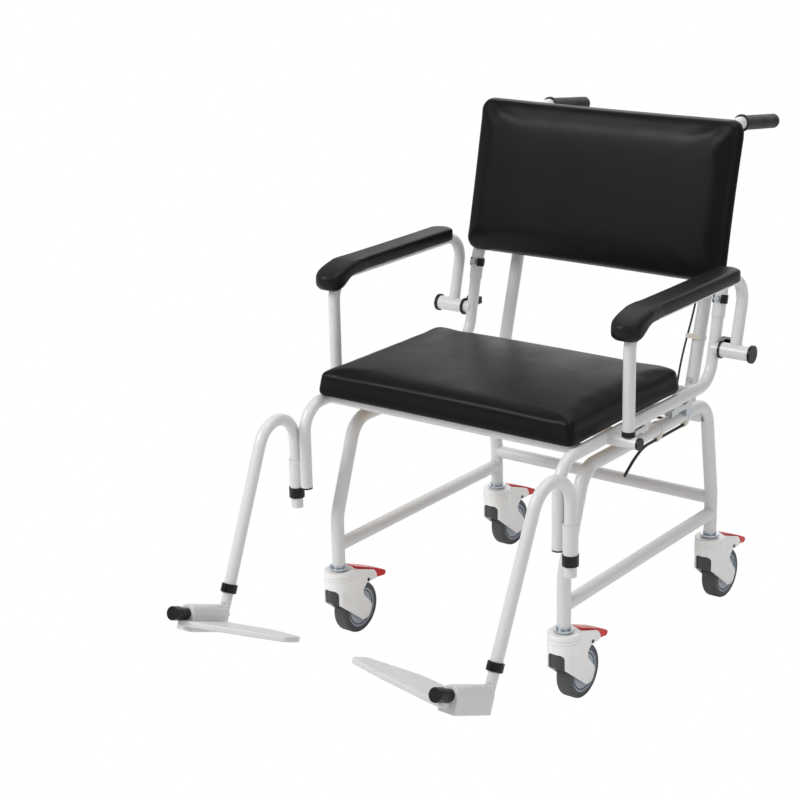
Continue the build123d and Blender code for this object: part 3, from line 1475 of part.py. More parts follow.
# Black plastic ends: stub caps, pivot caps and rings, hanger caps, bushes and armrest stops
with BuildPart() as tube_end_caps:
    stub_plane = Plane(origin=(stub_end_x, arm_front_y, seat_rail_z), z_dir=(1, 0, 0))
    with BuildSketch(stub_plane):
        Circle(frame_r)
    extrude(amount=cap_thickness)
    with BuildSketch(stub_plane):
        Circle(frame_r - tube_wall - running_fit)
    extrude(amount=-cap_skirt)
    with BuildSketch(Plane(origin=(barrel_out_x + gap, arm_pivot_y, arm_pivot_z), z_dir=(1, 0, 0))):
        Circle(cap_od / 2)
    extrude(amount=cap_thickness)
    with BuildSketch(Plane(origin=(barrel_in_x - gap, arm_pivot_y, arm_pivot_z), z_dir=(1, 0, 0))):
        Circle(cap_od / 2)
        Circle(pivot_bolt_d / 2 + running_fit, mode=Mode.SUBTRACT)
    extrude(amount=gap - ring_thickness)
    with BuildSketch(Plane(origin=(seat_x, hanger_y, hanger_bottom_z))):
        Circle(frame_r)
    extrude(amount=-ring_thickness)
    with BuildSketch(Plane(origin=(seat_x, hanger_y, hanger_bottom_z))):
        Circle(frame_r - tube_wall - running_fit)
    extrude(amount=cap_skirt)
    with BuildSketch(Plane(origin=(receiver_x, receiver_y, receiver_bottom_z))):
        Circle(bush_od / 2)
        Circle(frame_r + running_fit, mode=Mode.SUBTRACT)
    extrude(amount=-bush_height)
    with Locations(((seat_x + stop_out_x) / 2, stop_y, stop_z)):
        Box(stop_out_x - seat_x, stop_size, stop_size)
    with Locations((seat_x + stop_size / 2, stop_y - stop_size, stop_z)):
        Box(stop_size, stop_size, stop_size)
    add(seat_rod, mode=Mode.SUBTRACT)
    add(rod(boss_points, 0, boss_od), mode=Mode.SUBTRACT)
    mirror(about=Plane.YZ)
save(tube_end_caps.part, "tube_end_caps")
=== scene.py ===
"""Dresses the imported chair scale: finishes, padded covers, trim, the loose lead and the stage."""

import math

import bmesh
import bpy
from mathutils import Matrix, Vector
from mathutils.bvhtree import BVHTree


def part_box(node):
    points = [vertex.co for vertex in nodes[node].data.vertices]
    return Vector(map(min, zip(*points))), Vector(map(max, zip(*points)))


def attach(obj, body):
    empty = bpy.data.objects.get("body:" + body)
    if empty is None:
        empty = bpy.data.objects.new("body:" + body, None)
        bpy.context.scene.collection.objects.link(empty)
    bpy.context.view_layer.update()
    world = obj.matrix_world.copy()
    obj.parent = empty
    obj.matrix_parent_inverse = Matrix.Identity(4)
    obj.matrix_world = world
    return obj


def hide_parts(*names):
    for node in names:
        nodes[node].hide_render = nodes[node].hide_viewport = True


bl_info = {
    "name": "Chair scale",
    "version": (1, 0, 0),
    "blender": (4, 5, 0),
    "location": "View3D > Sidebar > Chair scale",
    "description": "Finishes and soft covers for a wheeled chair scale",
    "category": "Object",
}

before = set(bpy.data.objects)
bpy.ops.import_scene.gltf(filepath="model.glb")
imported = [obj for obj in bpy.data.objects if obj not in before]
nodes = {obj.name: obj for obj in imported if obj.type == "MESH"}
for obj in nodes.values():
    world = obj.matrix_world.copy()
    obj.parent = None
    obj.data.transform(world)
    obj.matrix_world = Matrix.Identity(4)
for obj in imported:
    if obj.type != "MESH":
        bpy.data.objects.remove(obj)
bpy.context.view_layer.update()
sides = ("left", "right")
wheel_trail = 0.047
wheel_radius = 0.050
corners = {
    "front_left": (-0.250, -0.268),
    "front_right": (0.250, -0.268),
    "rear_left": (-0.250, 0.268),
    "rear_right": (0.250, 0.268),
}


# Sizes and colours that a user would change

class ChairColours(bpy.types.PropertyGroup):
    frame_white: bpy.props.FloatVectorProperty(
        name="Frame", description="Powder coat on the tubes",
        subtype="COLOR", size=3, default=(0.66, 0.66, 0.665))
    vinyl: bpy.props.FloatVectorProperty(
        name="Vinyl", description="Cover of the seat and back pads",
        subtype="COLOR", size=3, default=(0.0025, 0.0025, 0.0029))
    arm_foam: bpy.props.FloatVectorProperty(
        name="Arm pads", description="Moulded skin of the arm pads",
        subtype="COLOR", size=3, default=(0.004, 0.004, 0.0045))
    black_plastic: bpy.props.FloatVectorProperty(
        name="Black plastic", description="Caps, collars and clips",
        subtype="COLOR", size=3, default=(0.005, 0.005, 0.0055))
    caster_white: bpy.props.FloatVectorProperty(
        name="Caster shells", description="Moulded caster housings",
        subtype="COLOR", size=3, default=(0.82, 0.815, 0.805))
    tread: bpy.props.FloatVectorProperty(
        name="Tread", description="Rubber of the wheels",
        subtype="COLOR", size=3, default=(0.055, 0.057, 0.060))
    hub: bpy.props.FloatVectorProperty(
        name="Hub", description="Plastic of the wheel hubs",
        subtype="COLOR", size=3, default=(0.36, 0.40, 0.46))
    pedal_red: bpy.props.FloatVectorProperty(
        name="Brake pedals", description="Gloss red plastic",
        subtype="COLOR", size=3, default=(0.60, 0.007, 0.008))
    plate_grey: bpy.props.FloatVectorProperty(
        name="Footplates", description="Pale grey moulded plates",
        subtype="COLOR", size=3, default=(0.60, 0.605, 0.61))
    case_grey: bpy.props.FloatVectorProperty(
        name="Display case", description="Pale case of the display",
        subtype="COLOR", size=3, default=(0.70, 0.70, 0.71))


class ChairSizes(bpy.types.PropertyGroup):
    puff: bpy.props.FloatProperty(
        name="Puff", description="Furthest that a cover swells",
        unit="LENGTH", default=0.006)
    seat_corner: bpy.props.FloatProperty(
        name="Seat corner", description="Corner radius of the seat pad",
        unit="LENGTH", default=0.016)
    back_corner: bpy.props.FloatProperty(
        name="Back corner", description="Corner radius of the backrest pad",
        unit="LENGTH", default=0.028)
    pad_edge: bpy.props.FloatProperty(
        name="Pad edge", description="Rounding of the pads' upper edges",
        unit="LENGTH", default=0.009)
    voxel: bpy.props.FloatProperty(
        name="Voxel", description="Mesh size of a cover before it swells",
        unit="LENGTH", default=0.006)


# Modelling helpers

def clear_selection():
    """Leaves object mode on, with nothing selected."""
    if bpy.context.object and bpy.context.object.mode != "OBJECT":
        bpy.ops.object.mode_set(mode="OBJECT")
    bpy.ops.object.select_all(action="DESELECT")


def choose(piece):
    clear_selection()
    piece.select_set(True)
    bpy.context.view_layer.objects.active = piece


def settle(piece):
    """Puts the object's place, turn and size into its mesh."""
    choose(piece)
    bpy.ops.object.transform_apply(location=True, rotation=True, scale=True)
    return piece


def named(name):
    piece = bpy.context.object
    piece.name = name
    piece.data.name = name
    return piece


def block(name, low, high):
    """A box between two corners."""
    low, high = Vector(low), Vector(high)
    clear_selection()
    bpy.ops.mesh.primitive_cube_add(size=1, location=(low + high) / 2)
    piece = named(name)
    piece.scale = high - low
    return settle(piece)


def drum(name, radius, length, middle, axis, points=48):
    """A cylinder about an axis."""
    clear_selection()
    turn = Vector((0, 0, 1)).rotation_difference(Vector(axis)).to_euler()
    bpy.ops.mesh.primitive_cylinder_add(
        vertices=points, radius=radius, depth=length, location=middle, rotation=turn)
    return settle(named(name))


def ring(name, radius, wire, middle, axis, points, wire_points):
    """A torus about an axis."""
    clear_selection()
    turn = Vector((0, 0, 1)).rotation_difference(Vector(axis)).to_euler()
    bpy.ops.mesh.primitive_torus_add(
        major_radius=radius, minor_radius=wire, major_segments=points, minor_segments=wire_points,
        location=middle, rotation=turn)
    return settle(named(name))


def pick(piece, kind, test):
    """In edit mode, selects the vertices, edges or faces whose middle and self pass the test."""
    choose(piece)
    bpy.ops.object.mode_set(mode="EDIT")
    bpy.ops.mesh.select_mode(type=kind)
    bpy.ops.mesh.select_all(action="DESELECT")
    shape = bmesh.from_edit_mesh(piece.data)
    for part in {"VERT": shape.verts, "EDGE": shape.edges, "FACE": shape.faces}[kind]:
        points = [part.co] if kind == "VERT" else [corner.co for corner in part.verts]
        if test(sum(points, Vector()) / len(points), part):
            part.select_set(True)
    shape.select_flush_mode()
    bmesh.update_edit_mesh(piece.data)


def stop_editing():
    bpy.ops.object.mode_set(mode="OBJECT")


def rise_of(edge):
    """How far an edge climbs from one end to the other."""
    return abs(edge.verts[0].co.z - edge.verts[1].co.z)


def modify(piece, kind, **settings):
    """Adds a modifier and applies it."""
    choose(piece)
    modifier = piece.modifiers.new(kind.title(), kind)
    for key, value in settings.items():
        setattr(modifier, key, value)
    bpy.ops.object.modifier_apply(modifier=modifier.name)
    return piece


def smooth(piece):
    """Shades smooth, apart from edges that turn by more than 60 degrees."""
    choose(piece)
    bpy.ops.object.shade_smooth_by_angle(angle=math.radians(60))
    return piece


def round_edges(piece, width):
    """Bevels the edges that turn by more than 40 degrees."""
    return modify(
        piece, "BEVEL", width=width, segments=2, limit_method="ANGLE",
        angle_limit=math.radians(40))


def joined(name, pieces):
    """Joins pieces into one mesh."""
    clear_selection()
    for piece in pieces:
        piece.select_set(True)
    bpy.context.view_layer.objects.active = pieces[0]
    if len(pieces) > 1:
        bpy.ops.object.join()
    return named(name)


def copied(piece, name, matrix):
    """A copy with its own mesh, put in place by a matrix."""
    twin = piece.copy()
    twin.data = piece.data.copy()
    twin.name = name
    twin.data.name = name
    bpy.context.scene.collection.objects.link(twin)
    twin.data.transform(matrix)
    if matrix.determinant() < 0:
        twin.data.flip_normals()
    return twin


def dress(piece, material, body):
    """Gives a finished piece its material and the body that it rides on."""
    piece.data.materials.clear()
    piece.data.materials.append(material)
    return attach(piece, body)


def paint(node, material, *regions):
    """Gives a CAD node its material, and others to the faces whose corners pass a test."""
    mesh = nodes[node].data
    mesh.materials.clear()
    mesh.materials.append(material)
    indices = [0] * len(mesh.polygons)
    for number, (other, test) in enumerate(regions, 1):
        mesh.materials.append(other)
        for face in mesh.polygons:
            if test([mesh.vertices[index].co for index in face.vertices]):
                indices[face.index] = number
    mesh.polygons.foreach_set("material_index", indices)
    mesh.update()


# Materials

def shader_of(name):
    """A new material with its node tree, shader and object coordinates."""
    material = bpy.data.materials.new(name)
    material.use_nodes = True
    tree = material.node_tree
    shader = tree.nodes["Principled BSDF"]
    place = tree.nodes.new("ShaderNodeTexCoord")
    return material, tree, shader, place


def noise(tree, place, scale, detail=3.0, rough=0.5):
    texture = tree.nodes.new("ShaderNodeTexNoise")
    texture.inputs["Scale"].default_value = scale
    texture.inputs["Detail"].default_value = detail
    texture.inputs["Roughness"].default_value = rough
    tree.links.new(place.outputs["Object"], texture.inputs["Vector"])
    return texture.outputs["Fac"]


def spread(tree, value, low, high):
    """Maps a pattern from 0.3..0.7 to a range."""
    limits = tree.nodes.new("ShaderNodeMapRange")
    limits.inputs["From Min"].default_value = 0.3
    limits.inputs["From Max"].default_value = 0.7
    limits.inputs["To Min"].default_value = low
    limits.inputs["To Max"].default_value = high
    tree.links.new(value, limits.inputs["Value"])
    return limits.outputs["Result"]


def blended(tree, value, first, second):
    """Mixes two colours by a pattern."""
    mix = tree.nodes.new("ShaderNodeMix")
    mix.data_type = "RGBA"
    tree.links.new(value, mix.inputs["Factor"])
    mix.inputs["A"].default_value = (*first, 1)
    mix.inputs["B"].default_value = (*second, 1)
    return mix.outputs["Result"]


def bump(tree, height, strength, depth, below=None):
    node = tree.nodes.new("ShaderNodeBump")
    node.inputs["Strength"].default_value = strength
    node.inputs["Distance"].default_value = depth
    tree.links.new(height, node.inputs["Height"])
    if below is not None:
        tree.links.new(below, node.inputs["Normal"])
    return node.outputs["Normal"]


def moulded(
        name, colour, roughness, grain=350.0, depth=0.00006, mottle=0.10, shine=0.5, uneven=0.05):
    """A painted or moulded finish: faint mottling, uneven gloss and a fine grain."""
    material, tree, shader, place = shader_of(name)
    cloud = noise(tree, place, 9.0)
    darker = [channel * (1 - mottle) for channel in colour]
    lighter = [min(1.0, channel * (1 + mottle / 2)) for channel in colour]
    tint = blended(tree, spread(tree, cloud, 0, 1), darker, lighter)
    tree.links.new(tint, shader.inputs["Base Color"])
    gloss = noise(tree, place, 38.0)
    dullness = spread(tree, gloss, max(0.02, roughness - uneven), min(1.0, roughness + uneven))
    tree.links.new(dullness, shader.inputs["Roughness"])
    tree.links.new(bump(tree, noise(tree, place, grain, 2.0), 0.5, depth), shader.inputs["Normal"])
    shader.inputs["Specular IOR Level"].default_value = shine
    return material


def leather_like(name, colour, roughness, shine):
    """Vinyl: small pebbled cells over soft, wide unevenness."""
    material, tree, shader, place = shader_of(name)
    cells = tree.nodes.new("ShaderNodeTexVoronoi")
    cells.feature = "DISTANCE_TO_EDGE"
    cells.inputs["Scale"].default_value = 620.0
    tree.links.new(place.outputs["Object"], cells.inputs["Vector"])
    cloud = noise(tree, place, 7.0, 4.0)
    lighter = [channel * 1.6 for channel in colour]
    tint = blended(tree, spread(tree, cloud, 0, 1), colour, lighter)
    tree.links.new(tint, shader.inputs["Base Color"])
    wear = noise(tree, place, 16.0, 5.0)
    dullness = spread(tree, wear, roughness - 0.03, roughness + 0.04)
    tree.links.new(dullness, shader.inputs["Roughness"])
    soft = bump(tree, noise(tree, place, 20.0, 2.0), 0.25, 0.0005)
    pebbles = bump(tree, cells.outputs["Distance"], 0.45, 0.00022, soft)
    tree.links.new(pebbles, shader.inputs["Normal"])
    shader.inputs["Specular IOR Level"].default_value = shine
    return material


def brushed(name, colour, roughness):
    """Bare metal with fine lines along X."""
    material, tree, shader, place = shader_of(name)
    mapping = tree.nodes.new("ShaderNodeMapping")
    mapping.inputs["Scale"].default_value = (1, 60, 60)
    tree.links.new(place.outputs["Object"], mapping.inputs["Vector"])
    lines = tree.nodes.new("ShaderNodeTexNoise")
    lines.inputs["Scale"].default_value = 18.0
    tree.links.new(mapping.outputs["Vector"], lines.inputs["Vector"])
    darker = [channel * 0.82 for channel in colour]
    tree.links.new(
        blended(tree, lines.outputs["Fac"], darker, colour), shader.inputs["Base Color"])
    dullness = spread(tree, lines.outputs["Fac"], roughness - 0.06, roughness + 0.10)
    tree.links.new(dullness, shader.inputs["Roughness"])
    tree.links.new(bump(tree, lines.outputs["Fac"], 0.15, 0.00005), shader.inputs["Normal"])
    shader.inputs["Metallic"].default_value = 1.0
    return material


def plywood(name):
    """Long grain lines along X with darker streaks."""
    material, tree, shader, place = shader_of(name)
    mapping = tree.nodes.new("ShaderNodeMapping")
    mapping.inputs["Scale"].default_value = (3, 40, 40)
    tree.links.new(place.outputs["Object"], mapping.inputs["Vector"])
    grain = tree.nodes.new("ShaderNodeTexNoise")
    grain.inputs["Scale"].default_value = 4.0
    grain.inputs["Detail"].default_value = 6.0
    tree.links.new(mapping.outputs["Vector"], grain.inputs["Vector"])
    dark_wood, pale_wood = (0.42, 0.28, 0.15), (0.62, 0.46, 0.28)
    tint = blended(tree, spread(tree, grain.outputs["Fac"], 0, 1), dark_wood, pale_wood)
    tree.links.new(tint, shader.inputs["Base Color"])
    tree.links.new(bump(tree, grain.outputs["Fac"], 0.3, 0.0003), shader.inputs["Normal"])
    shader.inputs["Roughness"].default_value = 0.62
    return material


finishes = {}


def make_finishes():
    """Fills the table of materials."""
    colours = bpy.context.scene.chair_colours
    even = {"mottle": 0.004, "uneven": 0.01}
    overlay = {"grain": 900.0, "depth": 0.00003, "mottle": 0.02}
    finishes.update(
        coat=moulded(
            "white_powder_coat", colours.frame_white, 0.30, grain=420.0, depth=0.00002, **even),
        vinyl=leather_like("black_vinyl", colours.vinyl, 0.38, shine=0.15),
        arm_foam=leather_like("arm_pad_skin", colours.arm_foam, 0.44, shine=0.24),
        black=moulded("black_plastic", colours.black_plastic, 0.38, shine=0.3),
        rubber=moulded(
            "grip_rubber", colours.black_plastic, 0.55, grain=500.0, depth=0.0001, shine=0.35),
        shell=moulded(
            "caster_shell", colours.caster_white, 0.26, grain=300.0, depth=0.00001, **even),
        guard=moulded("toe_guard_plastic", (0.042, 0.042, 0.043), 0.45),
        tread=moulded(
            "wheel_tread", colours.tread, 0.52, grain=260.0, depth=0.0001, mottle=0.15),
        hub=moulded("wheel_hub", colours.hub, 0.36, grain=300.0, depth=0.00005, mottle=0.06),
        red=moulded(
            "pedal_red", colours.pedal_red, 0.24, grain=250.0, depth=0.00005, mottle=0.06,
            shine=0.3),
        plate=moulded(
            "footplate_grey", colours.plate_grey, 0.42, grain=700.0, depth=0.00016, mottle=0.04),
        case=moulded(
            "case_plastic", colours.case_grey, 0.40, grain=650.0, depth=0.0001, mottle=0.03),
        film=moulded("panel_film", (0.72, 0.72, 0.735), 0.34, **overlay),
        dark_key=moulded(
            "dark_key", (0.085, 0.090, 0.098), 0.36, grain=900.0, depth=0.00003, mottle=0.04),
        light_key=moulded("light_key", (0.84, 0.84, 0.85), 0.34, **overlay),
        key_edge=moulded("key_edge", (0.27, 0.25, 0.25), 0.45, **overlay),
        ink=moulded("panel_ink", (0.045, 0.047, 0.052), 0.45),
        pale_ink=moulded("pale_ink", (0.70, 0.71, 0.73), 0.45),
        segment=moulded("lcd_segment", (0.006, 0.007, 0.008), 0.30),
        lcd=moulded(
            "lcd_glass", (0.49, 0.56, 0.61), 0.14, grain=120.0, depth=0.00001, mottle=0.05),
        zinc=brushed("zinc_plate", (0.56, 0.60, 0.64), 0.30),
        alloy=brushed("machined_alloy", (0.62, 0.63, 0.64), 0.32),
        nylon=moulded(
            "clip_nylon", (0.70, 0.66, 0.56), 0.40, grain=300.0, depth=0.00005, mottle=0.05),
        sheath=moulded("lead_sheath", (0.010, 0.010, 0.011), 0.46, grain=900.0, depth=0.00004),
        box=moulded("junction_box_grey", (0.33, 0.34, 0.36), 0.45),
        board=moulded(
            "circuit_board", (0.015, 0.16, 0.06), 0.35, grain=200.0, depth=0.00008, mottle=0.3),
        cells=moulded("battery_wrap", (0.02, 0.03, 0.06), 0.30),
        wood=plywood("seat_plywood"),
    )


# CAD nodes

class CHAIR_OT_frame_finish(bpy.types.Operator):
    """Gives the CAD nodes of the frame and the display case their finish"""
    bl_idname = "chair.frame_finish"
    bl_label = "Frame finish"

    def execute(self, context):
        plain = {
            "base_cross_members": "coat", "push_posts": "coat", "handle_grips": "rubber",
            "caster_stems": "zinc", "load_cells": "alloy", "load_cell_mounts": "zinc",
            "indicator_bracket": "zinc", "junction_box": "box", "indicator_lead": "sheath",
            "rail_lead": "sheath", "lead_tail": "sheath", "frame_bolts": "zinc",
            "seat_cross_tubes": "coat", "seat_board": "wood", "seat_pad": "vinyl",
            "back_tube": "coat", "back_pad": "vinyl", "back_clips": "black",
            "tube_end_caps": "black", "indicator_case_front": "case",
            "indicator_case_rear": "case", "lcd_modules": "lcd", "indicator_board": "board",
            "battery_pack": "cells",
        }
        paired = {
            "base_side_tube": "coat", "seat_side_tube": "coat", "footrest_tube": "coat",
            "footrest_collar": "black", "footrest_slide": "coat", "footplate": "plate",
            "footplate_pivot": "black", "arm_pad": "arm_foam",
        }
        clip_wall, foot_height = 0.0035, 0.0095
        for node, finish in plain.items():
            paint(node, finishes[finish])
        trees = [
            BVHTree.FromPolygons(
                [vertex.co for vertex in nodes[lead].data.vertices],
                [tuple(face.vertices) for face in nodes[lead].data.polygons])
            for lead in ("indicator_lead", "rail_lead", "lead_tail")]

        def away_from_leads(points):
            return all(
                tree.find_nearest(point)[3] > clip_wall for tree in trees for point in points)

        paint("cable_clips", finishes["nylon"], (finishes["coat"], away_from_leads))
        for side in sides:
            for node, finish in paired.items():
                paint(f"{node}_{side}", finishes[finish])
            foot_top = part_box(f"armrest_tube_{side}")[0].z + foot_height

            def on_foot(points):
                return max(point.z for point in points) < foot_top

            paint(f"armrest_tube_{side}", finishes["coat"], (finishes["black"], on_foot))
        return {"FINISHED"}


class CHAIR_OT_casters(bpy.types.Operator):
    """Finishes the casters and adds the rivets of their pedals and the brake cams"""
    bl_idname = "chair.casters"
    bl_label = "Casters"

    def execute(self, context):
        guard_reach, guard_half, guard_top = 0.0262, 0.0176, 0.108
        hub_reach, groove_low, groove_high = 0.0388, 0.0321, 0.0347
        pivot_y, pivot_z = 0.061, 0.1045
        cheek_face, rivet_radius, rivet_height = 0.0231, 0.0034, 0.0014
        cam_half, cam_front, cam_rear, cam_low, cam_high = 0.0095, 0.0010, 0.0120, 0.0915, 0.0975
        toe_y, toe_z, toe_shift = 0.006, 0.093, (0, 0.004, 0.001)
        for corner, (x, y) in corners.items():
            def on_guard(points):
                return all(
                    math.hypot(point.x - x, point.y - y) < guard_reach and point.y < y + 0.001
                    and abs(point.x - x) < guard_half and point.z < guard_top for point in points)

            def radii(points):
                return [
                    math.hypot(point.y - y - wheel_trail, point.z - wheel_radius)
                    for point in points]

            def on_hub(points):
                return max(radii(points)) < hub_reach

            def in_groove(points):
                reach = radii(points)
                return min(reach) > groove_low and max(reach) < groove_high

            paint(f"caster_housing_{corner}", finishes["shell"], (finishes["guard"], on_guard))
            paint(f"caster_pedal_{corner}", finishes["red"])
            paint(f"caster_axle_{corner}", finishes["zinc"])
            paint(
                f"caster_wheel_{corner}", finishes["tread"],
                (finishes["hub"], on_hub), (finishes["guard"], in_groove))
            hinge_y = y + pivot_y
            trim = []
            for cheek in (-1, 1):
                spot = (x + cheek * cheek_face, hinge_y, pivot_z)
                rivet = drum("rivet", rivet_radius, rivet_height, spot, (1, 0, 0), 20)
                trim.append(round_edges(rivet, 0.0005))
            cam = block(
                "cam", (x - cam_half, hinge_y + cam_front, cam_low),
                (x + cam_half, hinge_y + cam_rear, cam_high))
            pick(cam, "VERT", lambda spot, part: spot.y > hinge_y + toe_y and spot.z < toe_z)
            bpy.ops.transform.translate(value=toe_shift)
            stop_editing()
            trim.append(round_edges(cam, 0.0012))
            dress(
                joined(f"caster_trim_{corner}", trim), finishes["black"], f"swivel_{corner}")
        return {"FINISHED"}


# Padded covers

def swollen(piece, voxel, reach, pressure):
    """Remeshes a block and lets its cover swell as cloth, with the underside held."""
    frames, stiffness, bending, smoothing = 20, 30, 2, 6
    modify(piece, "REMESH", mode="VOXEL", voxel_size=voxel)
    rest = [vertex.co.copy() for vertex in piece.data.vertices]
    floor = min(point.z for point in rest)
    held = piece.vertex_groups.new(name="held")
    lowest = [index for index, point in enumerate(rest) if point.z < floor + voxel]
    held.add(lowest, 1.0, "REPLACE")
    cloth = piece.modifiers.new("Cover", "CLOTH")
    cloth.settings.quality = 4
    cloth.settings.use_pressure = True
    cloth.settings.uniform_pressure_force = pressure
    cloth.settings.tension_stiffness = stiffness
    cloth.settings.compression_stiffness = stiffness
    cloth.settings.bending_stiffness = bending
    cloth.settings.effector_weights.gravity = 0
    cloth.settings.vertex_group_mass = "held"
    cloth.point_cache.frame_start = 1
    cloth.point_cache.frame_end = frames
    for number in range(1, frames + 1):
        bpy.context.scene.frame_set(number)
    view = piece.evaluated_get(bpy.context.evaluated_depsgraph_get())
    moved = [vertex.co.copy() for vertex in view.data.vertices]
    choose(piece)
    bpy.ops.object.modifier_apply(modifier="Cover")
    for vertex, start, end in zip(piece.data.vertices, rest, moved):
        step = end - start
        vertex.co = start + step * min(1.0, reach / max(step.length, 1e-9))
    bpy.context.scene.frame_set(1)
    piece.vertex_groups.clear()
    choose(piece)
    bpy.ops.object.mode_set(mode="EDIT")
    bpy.ops.mesh.select_all(action="SELECT")
    bpy.ops.mesh.vertices_smooth(factor=0.5, repeat=smoothing)
    stop_editing()
    return modify(piece, "SUBSURF", levels=1, render_levels=1)


def fitted(piece, low, high):
    """Stretches a mesh to fill a box exactly."""
    points = [vertex.co for vertex in piece.data.vertices]
    own_low = Vector([min(point[axis] for point in points) for axis in range(3)])
    own_high = Vector([max(point[axis] for point in points) for axis in range(3)])
    for vertex in piece.data.vertices:
        for axis in range(3):
            share = (vertex.co[axis] - own_low[axis]) / (own_high[axis] - own_low[axis])
            vertex.co[axis] = low[axis] + (high[axis] - low[axis]) * share
    return piece


def pad(name, width, depth, height, corner, top_round, bottom_round):
    """A block that lies flat, with rounded corners and edges."""
    piece = block(name, (-width / 2, -depth / 2, 0), (width / 2, depth / 2, height))
    pick(piece, "EDGE", lambda middle, edge: rise_of(edge) > height / 2)
    bpy.ops.mesh.bevel(offset=corner, segments=7)
    pick(piece, "EDGE", lambda middle, edge: middle.z > height * 0.99)
    bpy.ops.mesh.bevel(offset=top_round, segments=5)
    pick(piece, "EDGE", lambda middle, edge: middle.z < height * 0.01)
    bpy.ops.mesh.bevel(offset=bottom_round, segments=3)
    stop_editing()
    return piece


def draw_in(piece, width, depth, amount):
    """Pulls the four sides in between the corners."""
    for vertex in piece.data.vertices:
        across, along = vertex.co.x / (width / 2), vertex.co.y / (depth / 2)
        from_side = abs(across) ** 6 * max(0.0, 1 - along * along)
        from_end = abs(along) ** 6 * max(0.0, 1 - across * across)
        vertex.co.x -= math.copysign(amount, across) * from_side
        vertex.co.y -= math.copysign(amount, along) * from_end


def raise_crown(piece, width, depth, crown, flatness):
    """Lifts the top between its edges; more flatness keeps the lift level further out."""
    top = max(vertex.co.z for vertex in piece.data.vertices)
    for vertex in piece.data.vertices:
        across, along = abs(2 * vertex.co.x / width), abs(2 * vertex.co.y / depth)
        lift = max(0.0, 1 - across ** flatness) * max(0.0, 1 - along ** flatness)
        vertex.co.z += crown * lift * vertex.co.z / top


class CHAIR_OT_seat_cushion(bpy.types.Operator):
    """Makes the padded seat"""
    bl_idname = "chair.seat_cushion"
    bl_label = "Seat cushion"

    def execute(self, context):
        sizes = context.scene.chair_sizes
        low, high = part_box("seat_pad")
        width, depth = high.x - low.x, high.y - low.y
        edge_height, under_round, waist = 0.0515, 0.005, 0.003
        crown, flatness, fuller = 0.0070, 3, 0.0012
        piece = pad(
            "seat_cushion", width, depth, edge_height, sizes.seat_corner, sizes.pad_edge,
            under_round)
        swollen(piece, sizes.voxel, sizes.puff, pressure=4.0)
        draw_in(piece, width, depth, waist)
        raise_crown(piece, width, depth, crown, flatness)
        fitted(
            piece, (low.x - fuller, low.y - fuller, low.z),
            (high.x + fuller, high.y + 2 * fuller, high.z + fuller))
        smooth(piece)
        dress(piece, finishes["vinyl"], "frame")
        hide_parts("seat_pad")
        return {"FINISHED"}


class CHAIR_OT_back_cushion(bpy.types.Operator):
    """Makes the padded backrest, leaning with its tube"""
    bl_idname = "chair.back_cushion"
    bl_label = "Back cushion"

    def execute(self, context):
        sizes = context.scene.chair_sizes
        lean = math.radians(12.7)
        edge_height, under_round, waist = 0.033, 0.0045, 0.002
        crown, flatness, fuller = 0.005, 5, 0.0005
        forward = Vector((0, -math.cos(lean), math.sin(lean)))
        up = Vector((0, math.sin(lean), math.cos(lean)))
        points = [vertex.co for vertex in nodes["back_pad"].data.vertices]
        ways = (Vector((1, 0, 0)), up, forward)
        low = Vector([min(point.dot(way) for point in points) for way in ways])
        high = Vector([max(point.dot(way) for point in points) for way in ways])
        width, tall = high.x - low.x, high.y - low.y
        piece = pad(
            "back_cushion", width, tall, edge_height, sizes.back_corner, 1.5 * sizes.pad_edge,
            under_round)
        swollen(piece, sizes.voxel, sizes.puff, pressure=4.0)
        draw_in(piece, width, tall, waist)
        raise_crown(piece, width, tall, crown, flatness)
        fitted(
            piece, low - Vector((fuller, fuller, 0)),
            high + Vector((fuller, fuller, 2 * fuller)))
        turn = Matrix(((1, 0, 0), (0, up.y, forward.y), (0, up.z, forward.z))).to_4x4()
        piece.data.transform(turn)
        smooth(piece)
        dress(piece, finishes["vinyl"], "frame")
        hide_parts("back_pad")
        return {"FINISHED"}


def arm_stations(low, high):
    """Rows of y, top, underside and half width along an arm pad, from drooped nose to tail."""
    top, tip_top, base, droop = high.z, high.z - 0.020, 0.684, low.z
    nose_y, nose_mid_y, bend_y, tail_y = low.y, low.y + 0.027, -0.122, high.y
    front_half, half, tail_reach, least_half = 0.029, 0.026, 0.0325, 0.006
    waist_y, taper, tail_round = -0.092, 0.048, 0.013
    tail_mid_y = tail_y - tail_reach
    fall = top - tip_top
    arc = ((bend_y - nose_y) ** 2 + fall ** 2) / (2 * fall)
    rises = {
        0.0002: 0.0150, 0.0025: 0.0080, 0.0065: 0.0035, 0.0120: 0.0010, 0.0180: 0.0,
        0.0250: 0.0003, 0.0330: 0.0030, 0.0410: 0.0080, 0.0500: 0.0145, 0.0590: 0.0205,
        0.0680: 0.0242,
    }
    under = {nose_y + step: droop + rise for step, rise in rises.items()}
    for y in (bend_y, waist_y, 0.0, 0.10):
        under[y] = base
    for step in (0.021, 0.012, 0.006, 0.002, 0.0):
        under[tail_y - step] = base
    rows = []
    for y, bottom in under.items():
        upper = top - (arc - math.sqrt(arc ** 2 - min(0.0, y - bend_y) ** 2))
        if y < nose_mid_y:
            ahead = (y - nose_mid_y) / (nose_mid_y - nose_y)
            width = front_half * math.sqrt(max(0.0, 1 - ahead ** 2))
        elif y > tail_y - tail_round:
            width = math.sqrt(max(0.0, tail_reach ** 2 - (y - tail_mid_y) ** 2))
        else:
            width = half + (front_half - half) * min(1.0, max(0.0, (waist_y - y) / taper))
        rows.append((y, upper, bottom, max(width, least_half)))
    return rows


